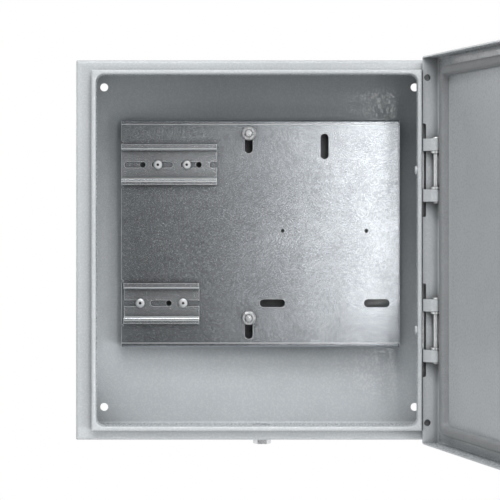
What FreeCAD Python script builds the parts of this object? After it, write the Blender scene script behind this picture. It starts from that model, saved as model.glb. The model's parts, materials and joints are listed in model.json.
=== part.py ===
"""Steel wall enclosure with a hinged door, a slotted mounting plate and two short DIN rails.

Millimetres. X is to the right, Y into the wall and Z up. The origin is the centre of the
four wall holes, on the rear face. The door is drawn closed, in a frame of its own whose
origin lies on the hinge axis, and is then turned open about that axis.
"""

import FreeCAD
import Part
import Sketcher

import math
import os

DOCUMENT = FreeCAD.newDocument("WallEnclosure")

# Driving dimensions: alias, number, meaning
DRIVING_SIZES = [
    ("box_width", "300", "body over its side walls"),
    ("box_height", "310", "body over its top and bottom walls"),
    ("box_depth", "130", "wall plane to the front of the flange"),
    ("sheet", "1.2", "steel of the body and the door"),
    ("bend_radius", "2.5", "outside radius of the folds"),
    ("seam_radius", "1.2", "ground corner seams of the body"),
    ("flange_left", "13.5", "side wall to the lip, latch side"),
    ("flange_right", "18.2", "side wall to the lip, hinge side"),
    ("flange_top", "8.5", "top or bottom wall to the lip"),
    ("lip_thickness", "3.7", "folded lip round the opening"),
    ("lip_height", "12", "lip in front of the flange"),
    ("lip_front_radius", "1.5", "rounded front of the folded lip"),
    ("hem_mouth", "3", "open channel between the flange and the lip's returned edge"),
    ("opening_radius", "6.5", "inside corners of the opening"),
    ("wall_hole_diameter", "7", "four wall holes"),
    ("wall_hole_inset_x", "14", "wall holes inside the side walls"),
    ("wall_hole_inset_z", "15", "wall holes inside the top and bottom walls"),
    ("plate_width", "241.4", "mounting plate across"),
    ("plate_height", "196.8", "mounting plate up"),
    ("plate_centre_x", "1", "mounting plate off the centre line"),
    ("plate_centre_z", "12", "mounting plate above the centre line"),
    ("plate_standoff", "18.8", "plate front off the back wall"),
    ("plate_sheet", "1.2", "galvanised sheet of the plate"),
    ("plate_bend_radius", "3", "outside radius of the plate's folds"),
    ("plate_notch", "2.2", "marking notches in the plate's edge"),
    ("plate_notch_spread", "19.3", "marking notches above and below a rail's centre"),
    ("plate_slot_length", "22", "slots of the plate, end to end"),
    ("plate_slot_width", "7", "slots of the plate"),
    ("stud_offset", "10.3", "studs left of the plate's centre line"),
    ("stud_drop", "11.5", "upper stud below the plate's top edge"),
    ("stud_pitch", "160", "studs up"),
    ("stud_slot_drop_upper", "6.2", "upper stud slot's centre below its stud"),
    ("stud_slot_drop_lower", "7.2", "lower stud slot's centre below its stud"),
    ("meter_offset", "55.5", "meter slots' centre line right of the plate's"),
    ("meter_slot_spacing", "90.5", "lower meter slots across"),
    ("meter_slot_drop", "22.7", "upper meter slot below the plate's top edge"),
    ("meter_slot_rise", "136", "lower to upper meter slots"),
    ("tag_hole_diameter", "3.3", "pair of small holes"),
    ("tag_hole_spacing", "72.5", "pair of small holes across"),
    ("tag_hole_rise", "2.5", "pair of small holes above the plate's middle"),
    ("spare_hole_diameter", "5", "plate holes that show through the rails' slots"),
    ("stud_diameter", "6", "studs of the back wall"),
    ("stud_foot_diameter", "8", "welded foot of a stud"),
    ("stud_foot_height", "1", "welded foot of a stud"),
    ("stud_end", "1.9", "stud beyond its nut"),
    ("stud_washer_diameter", "12", "washer of a stud"),
    ("stud_washer_thickness", "1.6", "washer of a stud"),
    ("stud_nut_flats", "10", "nut of a stud over its flats"),
    ("stud_nut_height", "5", "nut of a stud"),
    ("rail_height", "35", "rail over its brims"),
    ("rail_depth", "7.5", "rail off the plate"),
    ("rail_sheet", "1", "steel of the rail"),
    ("rail_channel", "25", "rail between its walls"),
    ("rail_slot_length", "18.5", "slots of a rail"),
    ("rail_slot_width", "5.2", "slots of a rail"),
    ("rail_slot_pitch", "25", "slots of a rail"),
    ("rail_bend_radius", "0.9", "folds of a rail"),
    ("rail_drop", "38.6", "upper rail's centre line below the plate's top edge"),
    ("rail_pitch", "120", "upper to lower rail"),
    ("rail_upper_inset", "0.2", "upper rail's end inside the plate's left edge"),
    ("rail_upper_length", "82.7", "upper rail"),
    ("rail_upper_first_slot", "11.6", "upper rail's end to the centre of its first slot"),
    ("rail_upper_second_slot", "35.2", "upper rail's end to the centre of its second slot"),
    ("rail_lower_inset", "2.4", "lower rail's end inside the plate's left edge"),
    ("rail_lower_length", "65.1", "lower rail"),
    ("rail_lower_first_slot", "7", "lower rail's end to the centre of its first slot"),
    ("rivet_shank_diameter", "4", "blind rivets of the rails"),
    ("rivet_head_diameter", "8.2", "blind rivets of the rails"),
    ("rivet_head_height", "1.7", "blind rivets of the rails"),
    ("rivet_core_diameter", "2.4", "hole that the drawn mandrel leaves"),
    ("rivet_bulb_diameter", "6", "drawn end behind the plate"),
    ("rivet_bulb_length", "3.4", "drawn end behind the plate"),
    ("rivet_dome_radius", "1.45", "rounded rim of a blind rivet's head"),
    ("rivet_bulb_chamfer", "1.2", "drawn end behind the plate"),
    ("rivet_upper_first", "31.4", "upper rail's end to its left rivet"),
    ("rivet_upper_spacing", "25", "rivets of the upper rail"),
    ("rivet_lower_first", "13.8", "lower rail's end to its left rivet"),
    ("rivet_lower_spacing", "37.3", "rivets of the lower rail"),
    ("earth_x", "2", "earth bolt across"),
    ("earth_setback", "38", "earth bolt behind the flange's front"),
    ("earth_diameter", "8", "earth bolt's thread"),
    ("earth_flats", "13", "earth bolt's head and nut"),
    ("earth_head_height", "5.3", "earth bolt's head"),
    ("earth_nut_height", "6.5", "earth bolt's nut"),
    ("earth_end", "0.4", "earth bolt beyond its nut"),
    ("earth_washer_diameter", "16", "earth bolt's washers"),
    ("earth_washer_thickness", "1.6", "earth bolt's washers"),
    ("bolt_clearance", "0.5", "hole wider than its bolt"),
    ("rivet_clearance", "0.1", "hole wider than its rivet"),
    ("thread_clearance", "0.1", "nut's bore wider than its thread"),
    ("running_clearance", "0.05", "radial, pin or plug in its bore"),
    ("open_angle", "104", "door at rest"),
    ("door_overhang", "2.5", "door's folds outside the body's walls"),
    ("door_standoff", "20", "door's outer face in front of the flange"),
    ("door_edge_gap", "5.2", "door's folded edge to the flange"),
    ("door_seam_radius", "2", "ground corner seams of the door"),
    ("pin_inset", "7", "hinge axis inside the body's side wall"),
    ("pin_standoff", "14", "hinge axis in front of the flange"),
    ("pin_diameter", "5", "hinge pins"),
    ("pin_head_diameter", "6.8", "hinge pins"),
    ("pin_head_height", "1.3", "hinge pins"),
    ("pin_head_radius", "1", "rounded rim of a hinge pin's head"),
    ("pin_end", "1.5", "hinge pin below its leaf"),
    ("hinge_z", "65", "hinges above and below the centre line"),
    ("leaf_thickness", "1.5", "hinge leaf and bracket"),
    ("leaf_height", "51", "hinge leaf over its two arms"),
    ("leaf_arm_height", "9.9", "each arm and knuckle"),
    ("leaf_bend_radius", "3", "inside radius of the leaf's bends"),
    ("leaf_crank_angle", "49", "degrees between an arm's slope and the flange"),
    ("leaf_eye_run", "3.6", "straight end of an arm before its knuckle"),
    ("leaf_flange_gap", "1", "leaf off the flange"),
    ("leaf_base_depth", "8.2", "leaf between its arms, off the flange"),
    ("leaf_curl_end", "30", "degrees between a knuckle's end and the leaf's plane"),
    ("leaf_rivet_diameter", "3.2", "rivets through the lip"),
    ("leaf_rivet_head_diameter", "7.2", "rivets through the lip"),
    ("leaf_rivet_head_height", "1.9", "rivets through the lip"),
    ("leaf_rivet_dome_radius", "1.3", "rounded rim of a leaf rivet's head"),
    ("leaf_rivet_sink", "0.7", "countersunk tail of a leaf rivet"),
    ("leaf_rivet_standoff", "5.2", "rivets in front of the flange"),
    ("bracket_end_gap", "0.4", "door bracket's ears clear of the leaf's arms"),
    ("bracket_width", "9.4", "door bracket's web and ears"),
    ("bracket_bend_radius", "2.5", "outside radius of the bracket's folds"),
    ("notch_height", "76", "door's edge cut back at a hinge"),
    ("notch_depth", "2.8", "door's edge cut back at a hinge"),
    ("notch_radius", "1.4", "corners of that cut"),
    ("fold_hole_diameter", "5.5", "holes in the door's hinge-side fold"),
    ("fold_hole_end", "17.2", "holes inside the fold's ends"),
    ("fold_hole_edge", "4", "holes off the fold's free edge"),
    ("gasket_width", "8", "foam gasket on the door"),
    ("gasket_lip_gap", "0.3", "gasket in front of the lip, door closed"),
    ("gasket_corner_radius", "12", "gasket's outer corners"),
    ("lock_inset", "40", "lock axis inside the door's free edge"),
    ("lock_barrel_diameter", "21.6", "lock housing through the door"),
    ("lock_head_diameter", "28", "lock housing outside the door"),
    ("lock_head_height", "3.5", "lock housing outside the door"),
    ("lock_head_bevel", "1.4", "bevelled rim of the housing's head"),
    ("lock_hole_clearance", "0.4", "door's hole wider than the housing"),
    ("lock_nut_flats", "27", "nut of the lock housing"),
    ("lock_nut_height", "4", "nut of the lock housing"),
    ("plug_diameter", "14", "turning plug"),
    ("plug_collar_diameter", "17", "plug's collar in the housing's head"),
    ("plug_collar_height", "2", "plug's collar in the housing's head"),
    ("key_well_diameter", "10.5", "key well in the plug"),
    ("key_well_depth", "9", "key well in the plug"),
    ("key_peg_diameter", "5", "peg of the key well"),
    ("key_peg_setback", "1", "peg below the plug's face"),
    ("key_bit_width", "2", "two bits of the peg"),
    ("key_bit_span", "9", "two bits of the peg"),
    ("plug_square", "7", "square end that carries the cam"),
    ("plug_square_setback", "0.2", "square end short of the cam's rear face"),
    ("cam_thickness", "2", "cam"),
    ("cam_width", "18", "cam"),
    ("cam_reach", "31", "cam from its axis to its nose"),
    ("cam_chamfer", "4", "corners of the cam's nose"),
    ("cam_flange_gap", "0.5", "cam behind the flange"),
    ("cam_housing_gap", "0.3", "cam behind the housing"),
    ("cam_screw_diameter", "5", "screw of the cam"),
    ("cam_screw_flats", "8", "screw of the cam"),
    ("cam_screw_head_height", "3.5", "screw of the cam"),
    ("cam_screw_length", "9", "screw in the plug"),
    ("screw_hole_reserve", "1", "hole beyond the cam screw's end"),
    ("cam_washer_diameter", "11", "washer of the cam"),
    ("cam_washer_thickness", "1.2", "washer of the cam"),
    ("fastener_chamfer", "0.6", "ends of threads"),
    ("nut_mouth_chamfer", "0.4", "bores of nuts"),
]

sheet = DOCUMENT.addObject("Spreadsheet::Sheet", "Sizes")
for row, (alias, number, meaning) in enumerate(DRIVING_SIZES, start=1):
    sheet.set(f"A{row}", meaning)
    sheet.set(f"B{row}", number)
    sheet.setAlias(f"B{row}", alias)
DOCUMENT.recompute()


class Size:
    """A number together with the sheet expression that yields it."""

    def __init__(self, value, text):
        self.value = value
        self.text = text

    def __add__(self, other):
        other = as_size(other)
        return Size(self.value + other.value, f"({self.text} + {other.text})")

    def __sub__(self, other):
        other = as_size(other)
        return Size(self.value - other.value, f"({self.text} - {other.text})")

    def __mul__(self, other):
        other = as_size(other)
        return Size(self.value * other.value, f"({self.text} * {other.text})")

    def __truediv__(self, other):
        other = as_size(other)
        return Size(self.value / other.value, f"({self.text} / {other.text})")

    def __neg__(self):
        return Size(-self.value, f"(0 - {self.text})")


def as_size(thing):
    """A plain number becomes a size of its own."""
    if isinstance(thing, Size):
        return thing
    return Size(float(thing), repr(float(thing)))


def cosine(angle):
    """Cosine of an angle in degrees."""
    return Size(math.cos(math.radians(angle.value)), f"cos({angle.text})")


def sine(angle):
    """Sine of an angle in degrees."""
    return Size(math.sin(math.radians(angle.value)), f"sin({angle.text})")


def tangent(angle):
    """Tangent of an angle in degrees."""
    return sine(angle) / cosine(angle)


SIZES = {alias: Size(float(sheet.get(alias)), f"Sizes.{alias}") for alias, _, _ in DRIVING_SIZES}


def size(alias):
    """The driving dimension of that name."""
    return SIZES[alias]


def half(alias):
    """Half the driving dimension of that name."""
    return SIZES[alias] / 2


# A cutting outline runs this far past the metal
OVERCUT = 1

UPRIGHT = FreeCAD.Vector(0, 0, 1)
FACING_DOWN = FreeCAD.Rotation(FreeCAD.Vector(1, 0, 0), 90)
FACING_UP = FreeCAD.Rotation(FreeCAD.Vector(1, 0, 0), -90)


def new_body(name):
    """An empty body in the part's frame."""
    body = DOCUMENT.addObject("PartDesign::Body", name)
    body.Label = name
    return body


def place(body, x=0, y=0, z=0, turn=None, fixed=None):
    """Move a body by sizes of the sheet; turn it about Z by one, or by a fixed rotation."""
    for axis, distance in (("x", x), ("y", y), ("z", z)):
        body.setExpression(f"Placement.Base.{axis}", as_size(distance).text)
    if turn is not None:
        body.Placement = FreeCAD.Placement(FreeCAD.Vector(), FreeCAD.Rotation(UPRIGHT, turn.value))
        body.setExpression("Placement.Rotation.Angle", turn.text)
    if fixed is not None:
        body.Placement = FreeCAD.Placement(FreeCAD.Vector(), fixed)


def place_on_door(body, across=0, depth=0, up=0, about_face=False):
    """Place a body drawn in the closed door's frame, with the door turned open."""
    across, depth, angle = as_size(across), as_size(depth), size("open_angle")
    x = pin_x + across * cosine(angle) - depth * sine(angle)
    y = across * sine(angle) + depth * cosine(angle) - pin_depth
    place(body, x, y, up, turn=angle + 180 if about_face else angle)


class Outline:
    """A sketch on one of a body's origin planes, each point held by sizes of the sheet.

    On XZ the outline's axes are X and Z and it faces -Y; on XY it faces +Z, and on YZ +X.
    The offset moves it the way that it faces.
    """

    def __init__(self, body, name, plane, offset=0):
        self.body = body
        self.sketch = body.newObject("Sketcher::SketchObject", name)
        planes = [feature for feature in body.Origin.OriginFeatures if feature.Role == f"{plane}_Plane"]
        self.sketch.AttachmentSupport = (planes[0], [""])
        self.sketch.MapMode = "FlatFace"
        self.sketch.setExpression("AttachmentOffset.Base.z", as_size(offset).text)

    def hold(self, kind, arguments, distance):
        """Add one dimension and bind it to its size."""
        index = self.sketch.addConstraint(Sketcher.Constraint(kind, *arguments, distance.value))
        self.sketch.setExpression(f"Constraints[{index}]", distance.text)

    def pin_point(self, geometry, position, x, y):
        """Hold a point of the outline at its distances from the origin."""
        self.hold("DistanceX", (-1, 1, geometry, position), as_size(x))
        self.hold("DistanceY", (-1, 1, geometry, position), as_size(y))

    def polygon(self, corners):
        """A closed run of straight edges."""
        corners = [(as_size(x), as_size(y)) for x, y in corners]
        points = [FreeCAD.Vector(x.value, y.value, 0) for x, y in corners]
        first = self.sketch.GeometryCount
        count = len(points)
        for number in range(count):
            self.sketch.addGeometry(Part.LineSegment(points[number], points[(number + 1) % count]), False)
        for number in range(count):
            follower = first + (number + 1) % count
            self.sketch.addConstraint(Sketcher.Constraint("Coincident", first + number, 2, follower, 1))
            self.pin_point(first + number, 1, *corners[number])
        return self

    def rectangle(self, left, right, low, high):
        """A rectangle between two corners."""
        return self.polygon([(left, low), (right, low), (right, high), (left, high)])

    def circle(self, x, y, diameter):
        """A circle by its centre and diameter."""
        x, y, diameter = as_size(x), as_size(y), as_size(diameter)
        centre = FreeCAD.Vector(x.value, y.value, 0)
        index = self.sketch.addGeometry(Part.Circle(centre, UPRIGHT, diameter.value / 2), False)
        self.pin_point(index, 3, x, y)
        self.hold("Diameter", (index,), diameter)
        return self

    def slot(self, x, y, length, width, upright=False):
        """A slot with round ends, by its centre, its overall length and its width."""
        x, y, reach = as_size(x), as_size(y), (length - width) / 2
        radius = width / 2
        low = (x, y - reach) if upright else (x - reach, y)
        high = (x, y + reach) if upright else (x + reach, y)
        turn = math.pi / 2 if upright else 0
        ends = []
        for (centre_x, centre_y), start in ((low, math.pi / 2 + turn), (high, -math.pi / 2 + turn)):
            centre = FreeCAD.Vector(centre_x.value, centre_y.value, 0)
            circle = Part.Circle(centre, UPRIGHT, radius.value)
            arc = Part.ArcOfCircle(circle, start, start + math.pi)
            ends.append(self.sketch.addGeometry(arc, False))
        first, second = ends
        arc_low, arc_high = self.sketch.Geometry[first], self.sketch.Geometry[second]
        sides = [
            self.sketch.addGeometry(Part.LineSegment(arc_low.EndPoint, arc_high.StartPoint), False),
            self.sketch.addGeometry(Part.LineSegment(arc_high.EndPoint, arc_low.StartPoint), False),
        ]
        for line, start_arc, end_arc in ((sides[0], first, second), (sides[1], second, first)):
            self.sketch.addConstraint(Sketcher.Constraint("Tangent", start_arc, 2, line, 1))
            self.sketch.addConstraint(Sketcher.Constraint("Tangent", line, 2, end_arc, 1))
        self.pin_point(first, 3, *low)
        self.pin_point(second, 3, *high)
        self.hold("Radius", (first,), radius)
        self.sketch.addConstraint(Sketcher.Constraint("Equal", first, second))
        return self

    def hexagon(self, flats):
        """A regular hexagon about the origin, by its distance over the flats."""
        inner = flats / 2
        corner = flats / math.sqrt(3)
        return self.polygon([
            (corner, 0),
            (corner / 2, inner),
            (-corner / 2, inner),
            (-corner, 0),
            (-corner / 2, -inner),
            (corner / 2, -inner),
        ])

    def feature(self, kind, name):
        """A feature of the body that uses this outline."""
        made = self.body.newObject(f"PartDesign::{kind}", name)
        made.Profile = self.sketch
        self.sketch.Visibility = False
        return made

    def pad(self, name, length, backwards=False):
        """Fill the outline for a length, the way it faces."""
        made = self.feature("Pad", name)
        made.setExpression("Length", as_size(length).text)
        made.Reversed = backwards
        return self.settle(made, grows=True)

    def pocket(self, name, length, forwards=False):
        """Cut the outline for a length, against the way it faces unless told otherwise."""
        made = self.feature("Pocket", name)
        made.setExpression("Length", as_size(length).text)
        made.Reversed = forwards
        return self.settle(made, grows=False)

    def revolve(self, name, axis="V_Axis"):
        """Turn the outline once about its own axis."""
        made = self.feature("Revolution", name)
        made.ReferenceAxis = (self.sketch, [axis])
        made.Angle = 360
        return self.settle(made, grows=True)

    def groove(self, name):
        """Turn the outline once about the upright axis and cut it away."""
        made = self.feature("Groove", name)
        made.ReferenceAxis = (self.sketch, ["V_Axis"])
        made.Angle = 360
        return self.settle(made, grows=False)

    def settle(self, made, grows):
        """Recompute, and make sure that the feature did what it is there for."""
        before = made.BaseFeature.Shape.Volume if made.BaseFeature else 0
        DOCUMENT.recompute()
        change = made.Shape.Volume - before
        if (change > 0) != grows or abs(change) < 1e-6:
            raise RuntimeError(f"{self.body.Label}: {made.Name} changed the volume by {change:.4f}")
        self.body.Tip = made
        return made


def dress_edges(kind, body, name, base, radius, keep):
    """Fillet or chamfer the edges whose middle point passes the test."""
    names = []
    for number, edge in enumerate(base.Shape.Edges, start=1):
        low, high = edge.ParameterRange
        if keep(edge, edge.valueAt((low + high) / 2)):
            names.append(f"Edge{number}")
    if not names:
        raise RuntimeError(f"{body.Label}: {name} finds no edge")
    made = body.newObject(f"PartDesign::{kind}", name)
    made.Base = (base, names)
    made.setExpression("Radius" if kind == "Fillet" else "Size", as_size(radius).text)
    DOCUMENT.recompute()
    body.Tip = made
    return made


def fillet(body, name, base, radius, keep):
    """Round the edges whose middle point passes the test."""
    return dress_edges("Fillet", body, name, base, radius, keep)


def chamfer(body, name, base, width, keep):
    """Break the edges whose middle point passes the test."""
    return dress_edges("Chamfer", body, name, base, width, keep)


def near(number, target):
    """Whether a coordinate is the one that a size gives."""
    return abs(number - as_size(target).value) < 1e-4


def runs_along(edge, axis):
    """Whether an edge is straight and parallel to X (0), Y (1) or Z (2)."""
    if len(edge.Vertexes) < 2 or not isinstance(edge.Curve, Part.Line):
        return False
    span = edge.Vertexes[1].Point - edge.Vertexes[0].Point
    return abs(span[axis]) > span.Length - 1e-6


def group(name, members):
    """Identical separate solids that share one node."""
    made = DOCUMENT.addObject("Part::Compound", name)
    made.Label = name
    made.Links = members
    return made


# Levels and edges that several pieces share
flange_front = size("box_depth")
wall_inside = size("sheet")
opening_left = half("box_width") - size("flange_left") - size("lip_thickness")
opening_right = half("box_width") - size("flange_right") - size("lip_thickness")
opening_top = half("box_height") - size("flange_top") - size("lip_thickness")
lip_left = half("box_width") - size("flange_left")
lip_right = half("box_width") - size("flange_right")
lip_top = half("box_height") - size("flange_top")
plate_front = wall_inside + size("plate_standoff")
plate_back = plate_front - size("plate_sheet")
plate_left = size("plate_centre_x") - half("plate_width")
plate_low = size("plate_centre_z") - half("plate_height")
plate_high = size("plate_centre_z") + half("plate_height")
stud_x = size("plate_centre_x") - size("stud_offset")
stud_upper_z = plate_high - size("stud_drop")
stud_lower_z = stud_upper_z - size("stud_pitch")
meter_x = size("plate_centre_x") + size("meter_offset")
rail_upper_z = plate_high - size("rail_drop")
rail_lower_z = rail_upper_z - size("rail_pitch")
rail_upper_left = plate_left + size("rail_upper_inset")
rail_lower_left = plate_left + size("rail_lower_inset")
rail_web_front = plate_front + size("rail_sheet")
rail_upper_second_slot = rail_upper_left + size("rail_upper_second_slot")
rail_slots = {
    "upper": [rail_upper_left + size("rail_upper_first_slot")]
             + [rail_upper_second_slot + size("rail_slot_pitch") * step for step in range(3)],
    "lower": [rail_lower_left + size("rail_lower_first_slot") + size("rail_slot_pitch") * step
              for step in range(3)],
}
rail_rivets = {
    "upper": (rail_upper_z, rail_upper_left + size("rivet_upper_first"), size("rivet_upper_spacing")),
    "lower": (rail_lower_z, rail_lower_left + size("rivet_lower_first"), size("rivet_lower_spacing")),
}
pin_x = half("box_width") - size("pin_inset")
pin_depth = flange_front + size("pin_standoff")
leaf_rivet_depth = flange_front + size("leaf_rivet_standoff")
door_edge = size("pin_standoff") - size("door_edge_gap")
door_face = size("pin_standoff") - size("door_standoff")
door_inside = door_face + wall_inside
door_left = -half("box_width") - size("door_overhang") - pin_x
door_right = half("box_width") + size("door_overhang") - pin_x
door_half_height = half("box_height") + size("door_overhang")
lock_x = door_left + size("lock_inset")
lock_face = door_face - size("lock_head_height")
cam_front = size("pin_standoff") + wall_inside + size("cam_flange_gap")
hinge_heights = {"upper": size("hinge_z"), "lower": -size("hinge_z")}


def make_body_shell():
    """Folded tray with a flange turned in and a folded lip round the opening."""
    body = new_body("body_shell")
    width, height = half("box_width"), half("box_height")
    block = Outline(body, "wall_outline", "XZ").rectangle(-width, width, -height, height)
    tray = block.pad("walls", flange_front)
    tray = fillet(body, "corner_seams", tray, size("seam_radius"), lambda edge, at: runs_along(edge, 1))
    front = -flange_front
    tray = fillet(body, "folds", tray, size("bend_radius"),
                  lambda edge, at: near(at.y, 0) or near(at.y, front))

    inner_width, inner_height = width - wall_inside, height - wall_inside
    room = Outline(body, "room_outline", "XZ", flange_front - wall_inside)
    room.rectangle(-inner_width, inner_width, -inner_height, inner_height)
    hollow = room.pocket("room", flange_front - wall_inside * 2)
    inner_bend = size("bend_radius") - wall_inside
    hollow = fillet(body, "inner_folds", hollow, inner_bend,
                    lambda edge, at: near(at.y, -wall_inside) or near(at.y, wall_inside - flange_front))

    rim = Outline(body, "lip_outline", "XZ", flange_front - wall_inside / 2)
    rim.rectangle(-lip_left, lip_right, -lip_top, lip_top)
    rim = rim.pad("lip", size("lip_height") + wall_inside / 2)
    lip_front = -flange_front - size("lip_height")
    opening = Outline(body, "opening_outline", "XZ", -lip_front)
    opening.rectangle(-opening_left, opening_right, -opening_top, opening_top)
    opening = opening.pocket("opening", size("lip_height") + wall_inside)
    opening = fillet(body, "opening_corners", opening, size("opening_radius"), lambda edge, at: (
        runs_along(edge, 1) and (near(at.x, -opening_left) or near(at.x, opening_right))))
    opening = fillet(body, "lip_front", opening, size("lip_front_radius"),
                     lambda edge, at: near(at.y, lip_front))

    skin_left, skin_right = opening_left + wall_inside, opening_right + wall_inside
    skin_top = opening_top + wall_inside
    channel = Outline(body, "channel_outline", "XZ", flange_front + size("hem_mouth"))
    channel.rectangle(-lip_left - OVERCUT, lip_right + OVERCUT, -lip_top - OVERCUT, lip_top + OVERCUT)
    channel.rectangle(-skin_left, skin_right, -skin_top, skin_top)
    channel.pocket("channel", size("hem_mouth"))
    gap = Outline(body, "hem_outline", "XZ", flange_front + size("hem_mouth"))
    hem_left, hem_right, hem_top = lip_left - wall_inside, lip_right - wall_inside, lip_top - wall_inside
    gap.rectangle(-hem_left, hem_right, -hem_top, hem_top)
    gap.rectangle(-skin_left, skin_right, -skin_top, skin_top)
    gap.pocket("hem", size("lip_height") - size("hem_mouth") - size("lip_front_radius"), forwards=True)

    holes = Outline(body, "wall_hole_outline", "XZ", wall_inside)
    hole_x, hole_z = width - size("wall_hole_inset_x"), height - size("wall_hole_inset_z")
    for across in (-hole_x, hole_x):
        for up in (-hole_z, hole_z):
            holes.circle(across, up, size("wall_hole_diameter"))
    holes.pocket("wall_holes", wall_inside)

    earth = Outline(body, "earth_hole_outline", "XY", -inner_height)
    bore = size("earth_diameter") + size("bolt_clearance")
    earth.circle(size("earth_x"), size("earth_setback") - flange_front, bore)
    earth.pocket("earth_hole", wall_inside)

    rivets = Outline(body, "leaf_rivet_outline", "YZ", lip_right)
    for up in hinge_heights.values():
        rivets.circle(-leaf_rivet_depth, up, size("leaf_rivet_diameter") + size("rivet_clearance"))
    rivets.pocket("leaf_rivet_holes", size("lip_thickness"))
    return body


def make_mounting_plate():
    """Slotted plate with its top and bottom edges folded back to the wall."""
    body = new_body("mounting_plate")
    thick = size("plate_sheet")
    section = Outline(body, "section", "YZ", plate_left).polygon([
        (-wall_inside, plate_low),
        (-plate_front, plate_low),
        (-plate_front, plate_high),
        (-wall_inside, plate_high),
        (-wall_inside, plate_high - thick),
        (-plate_back, plate_high - thick),
        (-plate_back, plate_low + thick),
        (-wall_inside, plate_low + thick),
    ])
    plate = section.pad("plate", size("plate_width"))
    plate = fillet(body, "outer_folds", plate, size("plate_bend_radius"),
                   lambda edge, at: runs_along(edge, 0) and near(at.y, -plate_front))
    plate = fillet(body, "inner_folds", plate, size("plate_bend_radius") - thick,
                   lambda edge, at: runs_along(edge, 0) and near(at.y, -plate_back))

    slots = Outline(body, "slot_outline", "XZ", plate_back)
    length, width = size("plate_slot_length"), size("plate_slot_width")
    slots.slot(stud_x, stud_upper_z - size("stud_slot_drop_upper"), length, width, upright=True)
    slots.slot(stud_x, stud_lower_z - size("stud_slot_drop_lower"), length, width, upright=True)
    meter_slot_z = plate_high - size("meter_slot_drop")
    slots.slot(meter_x, meter_slot_z, length, width, upright=True)
    for side in (-1, 1):
        across = meter_x + half("meter_slot_spacing") * side
        slots.slot(across, meter_slot_z - size("meter_slot_rise"), length, width)
    slots.pocket("slots", thick, forwards=True)

    holes = Outline(body, "hole_outline", "XZ", plate_back)
    for side in (-1, 1):
        across = meter_x + half("tag_hole_spacing") * side
        holes.circle(across, size("plate_centre_z") + size("tag_hole_rise"), size("tag_hole_diameter"))
    for across, up in spare_holes():
        holes.circle(across, up, size("spare_hole_diameter"))
    rivet_hole = size("rivet_shank_diameter") + size("rivet_clearance")
    for up, across, spacing in rail_rivets.values():
        for step in range(2):
            holes.circle(across + spacing * step, up, rivet_hole)
    holes.pocket("holes", thick, forwards=True)

    marks = Outline(body, "notch_outline", "XZ", plate_back)
    deep, outside = size("plate_notch"), plate_left - OVERCUT
    for centre in (rail_upper_z, rail_lower_z):
        for side in (-1, 1):
            up = centre + size("plate_notch_spread") * side
            marks.polygon([
                (outside, up - deep / 2),
                (plate_left, up - deep / 2),
                (plate_left + deep, up),
                (plate_left, up + deep / 2),
                (outside, up + deep / 2),
            ])
    marks.pocket("notches", thick, forwards=True)
    return body


def spare_holes():
    """Plate holes that show through the rails' slots, beside the rivets."""
    reach = half("rail_slot_length") - half("spare_hole_diameter")
    upper, lower = rail_slots["upper"], rail_slots["lower"]
    return [
        (upper[0] + reach, rail_upper_z),
        (upper[2] + reach, rail_upper_z),
        (lower[1] + reach, rail_lower_z),
    ]


def make_rail(name, left, length, centre_z, slot_centres):
    """Top-hat rail with its web on the plate, cut from slotted stock."""
    body = new_body(name)
    thick = size("rail_sheet")
    brim, wall = half("rail_height"), half("rail_channel")
    back, front = -plate_front, -plate_front - size("rail_depth")
    hat = [
        (back, centre_z - wall - thick),
        (front + thick, centre_z - wall - thick),
        (front + thick, centre_z - brim),
        (front, centre_z - brim),
        (front, centre_z - wall),
        (back - thick, centre_z - wall),
    ]
    mirrored = [(depth, centre_z * 2 - up) for depth, up in reversed(hat)]
    rail = Outline(body, "section", "YZ", left).polygon(hat + mirrored).pad("rail", length)
    rail = fillet(body, "folds", rail, size("rail_bend_radius"), lambda edge, at: runs_along(edge, 0) and (
        near(at.y, front) and near(abs(at.z - centre_z.value), wall)
        or near(at.y, back) and near(abs(at.z - centre_z.value), wall + thick)))
    slots = Outline(body, "slot_outline", "XZ", plate_front)
    for across in slot_centres:
        slots.slot(across, centre_z, size("rail_slot_length"), size("rail_slot_width"))
    slots.pocket("slots", thick, forwards=True)
    return body


def make_blind_rivet(name, across, up):
    """Drawn blind rivet: domed head, hollow core and a bulb behind the plate."""
    body = new_body(name)
    core, shank = half("rivet_core_diameter"), half("rivet_shank_diameter")
    head, bulb = half("rivet_head_diameter"), half("rivet_bulb_diameter")
    grip = size("rail_sheet") + size("plate_sheet")
    end = grip + size("rivet_bulb_length")
    profile = Outline(body, "profile", "XY").polygon([
        (0, size("rail_sheet")),
        (core, size("rail_sheet")),
        (core, -size("rivet_head_height")),
        (head, -size("rivet_head_height")),
        (head, 0),
        (shank, 0),
        (shank, grip),
        (bulb, grip),
        (bulb, end),
        (0, end),
    ])
    rivet = profile.revolve("rivet")
    rivet = fillet(body, "dome", rivet, size("rivet_dome_radius"), lambda edge, at: (
        near(at.y, -size("rivet_head_height")) and near(math.hypot(at.x, at.z), head)))
    chamfer(body, "bulb_end", rivet, size("rivet_bulb_chamfer"), lambda edge, at: (
        near(at.y, end) and near(math.hypot(at.x, at.z), bulb)))
    place(body, across, -rail_web_front, up)
    return body


def make_rails():
    """Both rails and the rivets that hold them."""
    upper_length, lower_length = size("rail_upper_length"), size("rail_lower_length")
    made = [
        make_rail("din_rail_upper", rail_upper_left, upper_length, rail_upper_z, rail_slots["upper"]),
        make_rail("din_rail_lower", rail_lower_left, lower_length, rail_lower_z, rail_slots["lower"]),
    ]
    for place_name, (up, first, spacing) in rail_rivets.items():
        rivets = [make_blind_rivet(f"rail_rivet_{place_name}_{step}", first + spacing * step, up)
                  for step in range(2)]
        made.append(group(f"rail_rivets_{place_name}", rivets))
    return made


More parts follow.
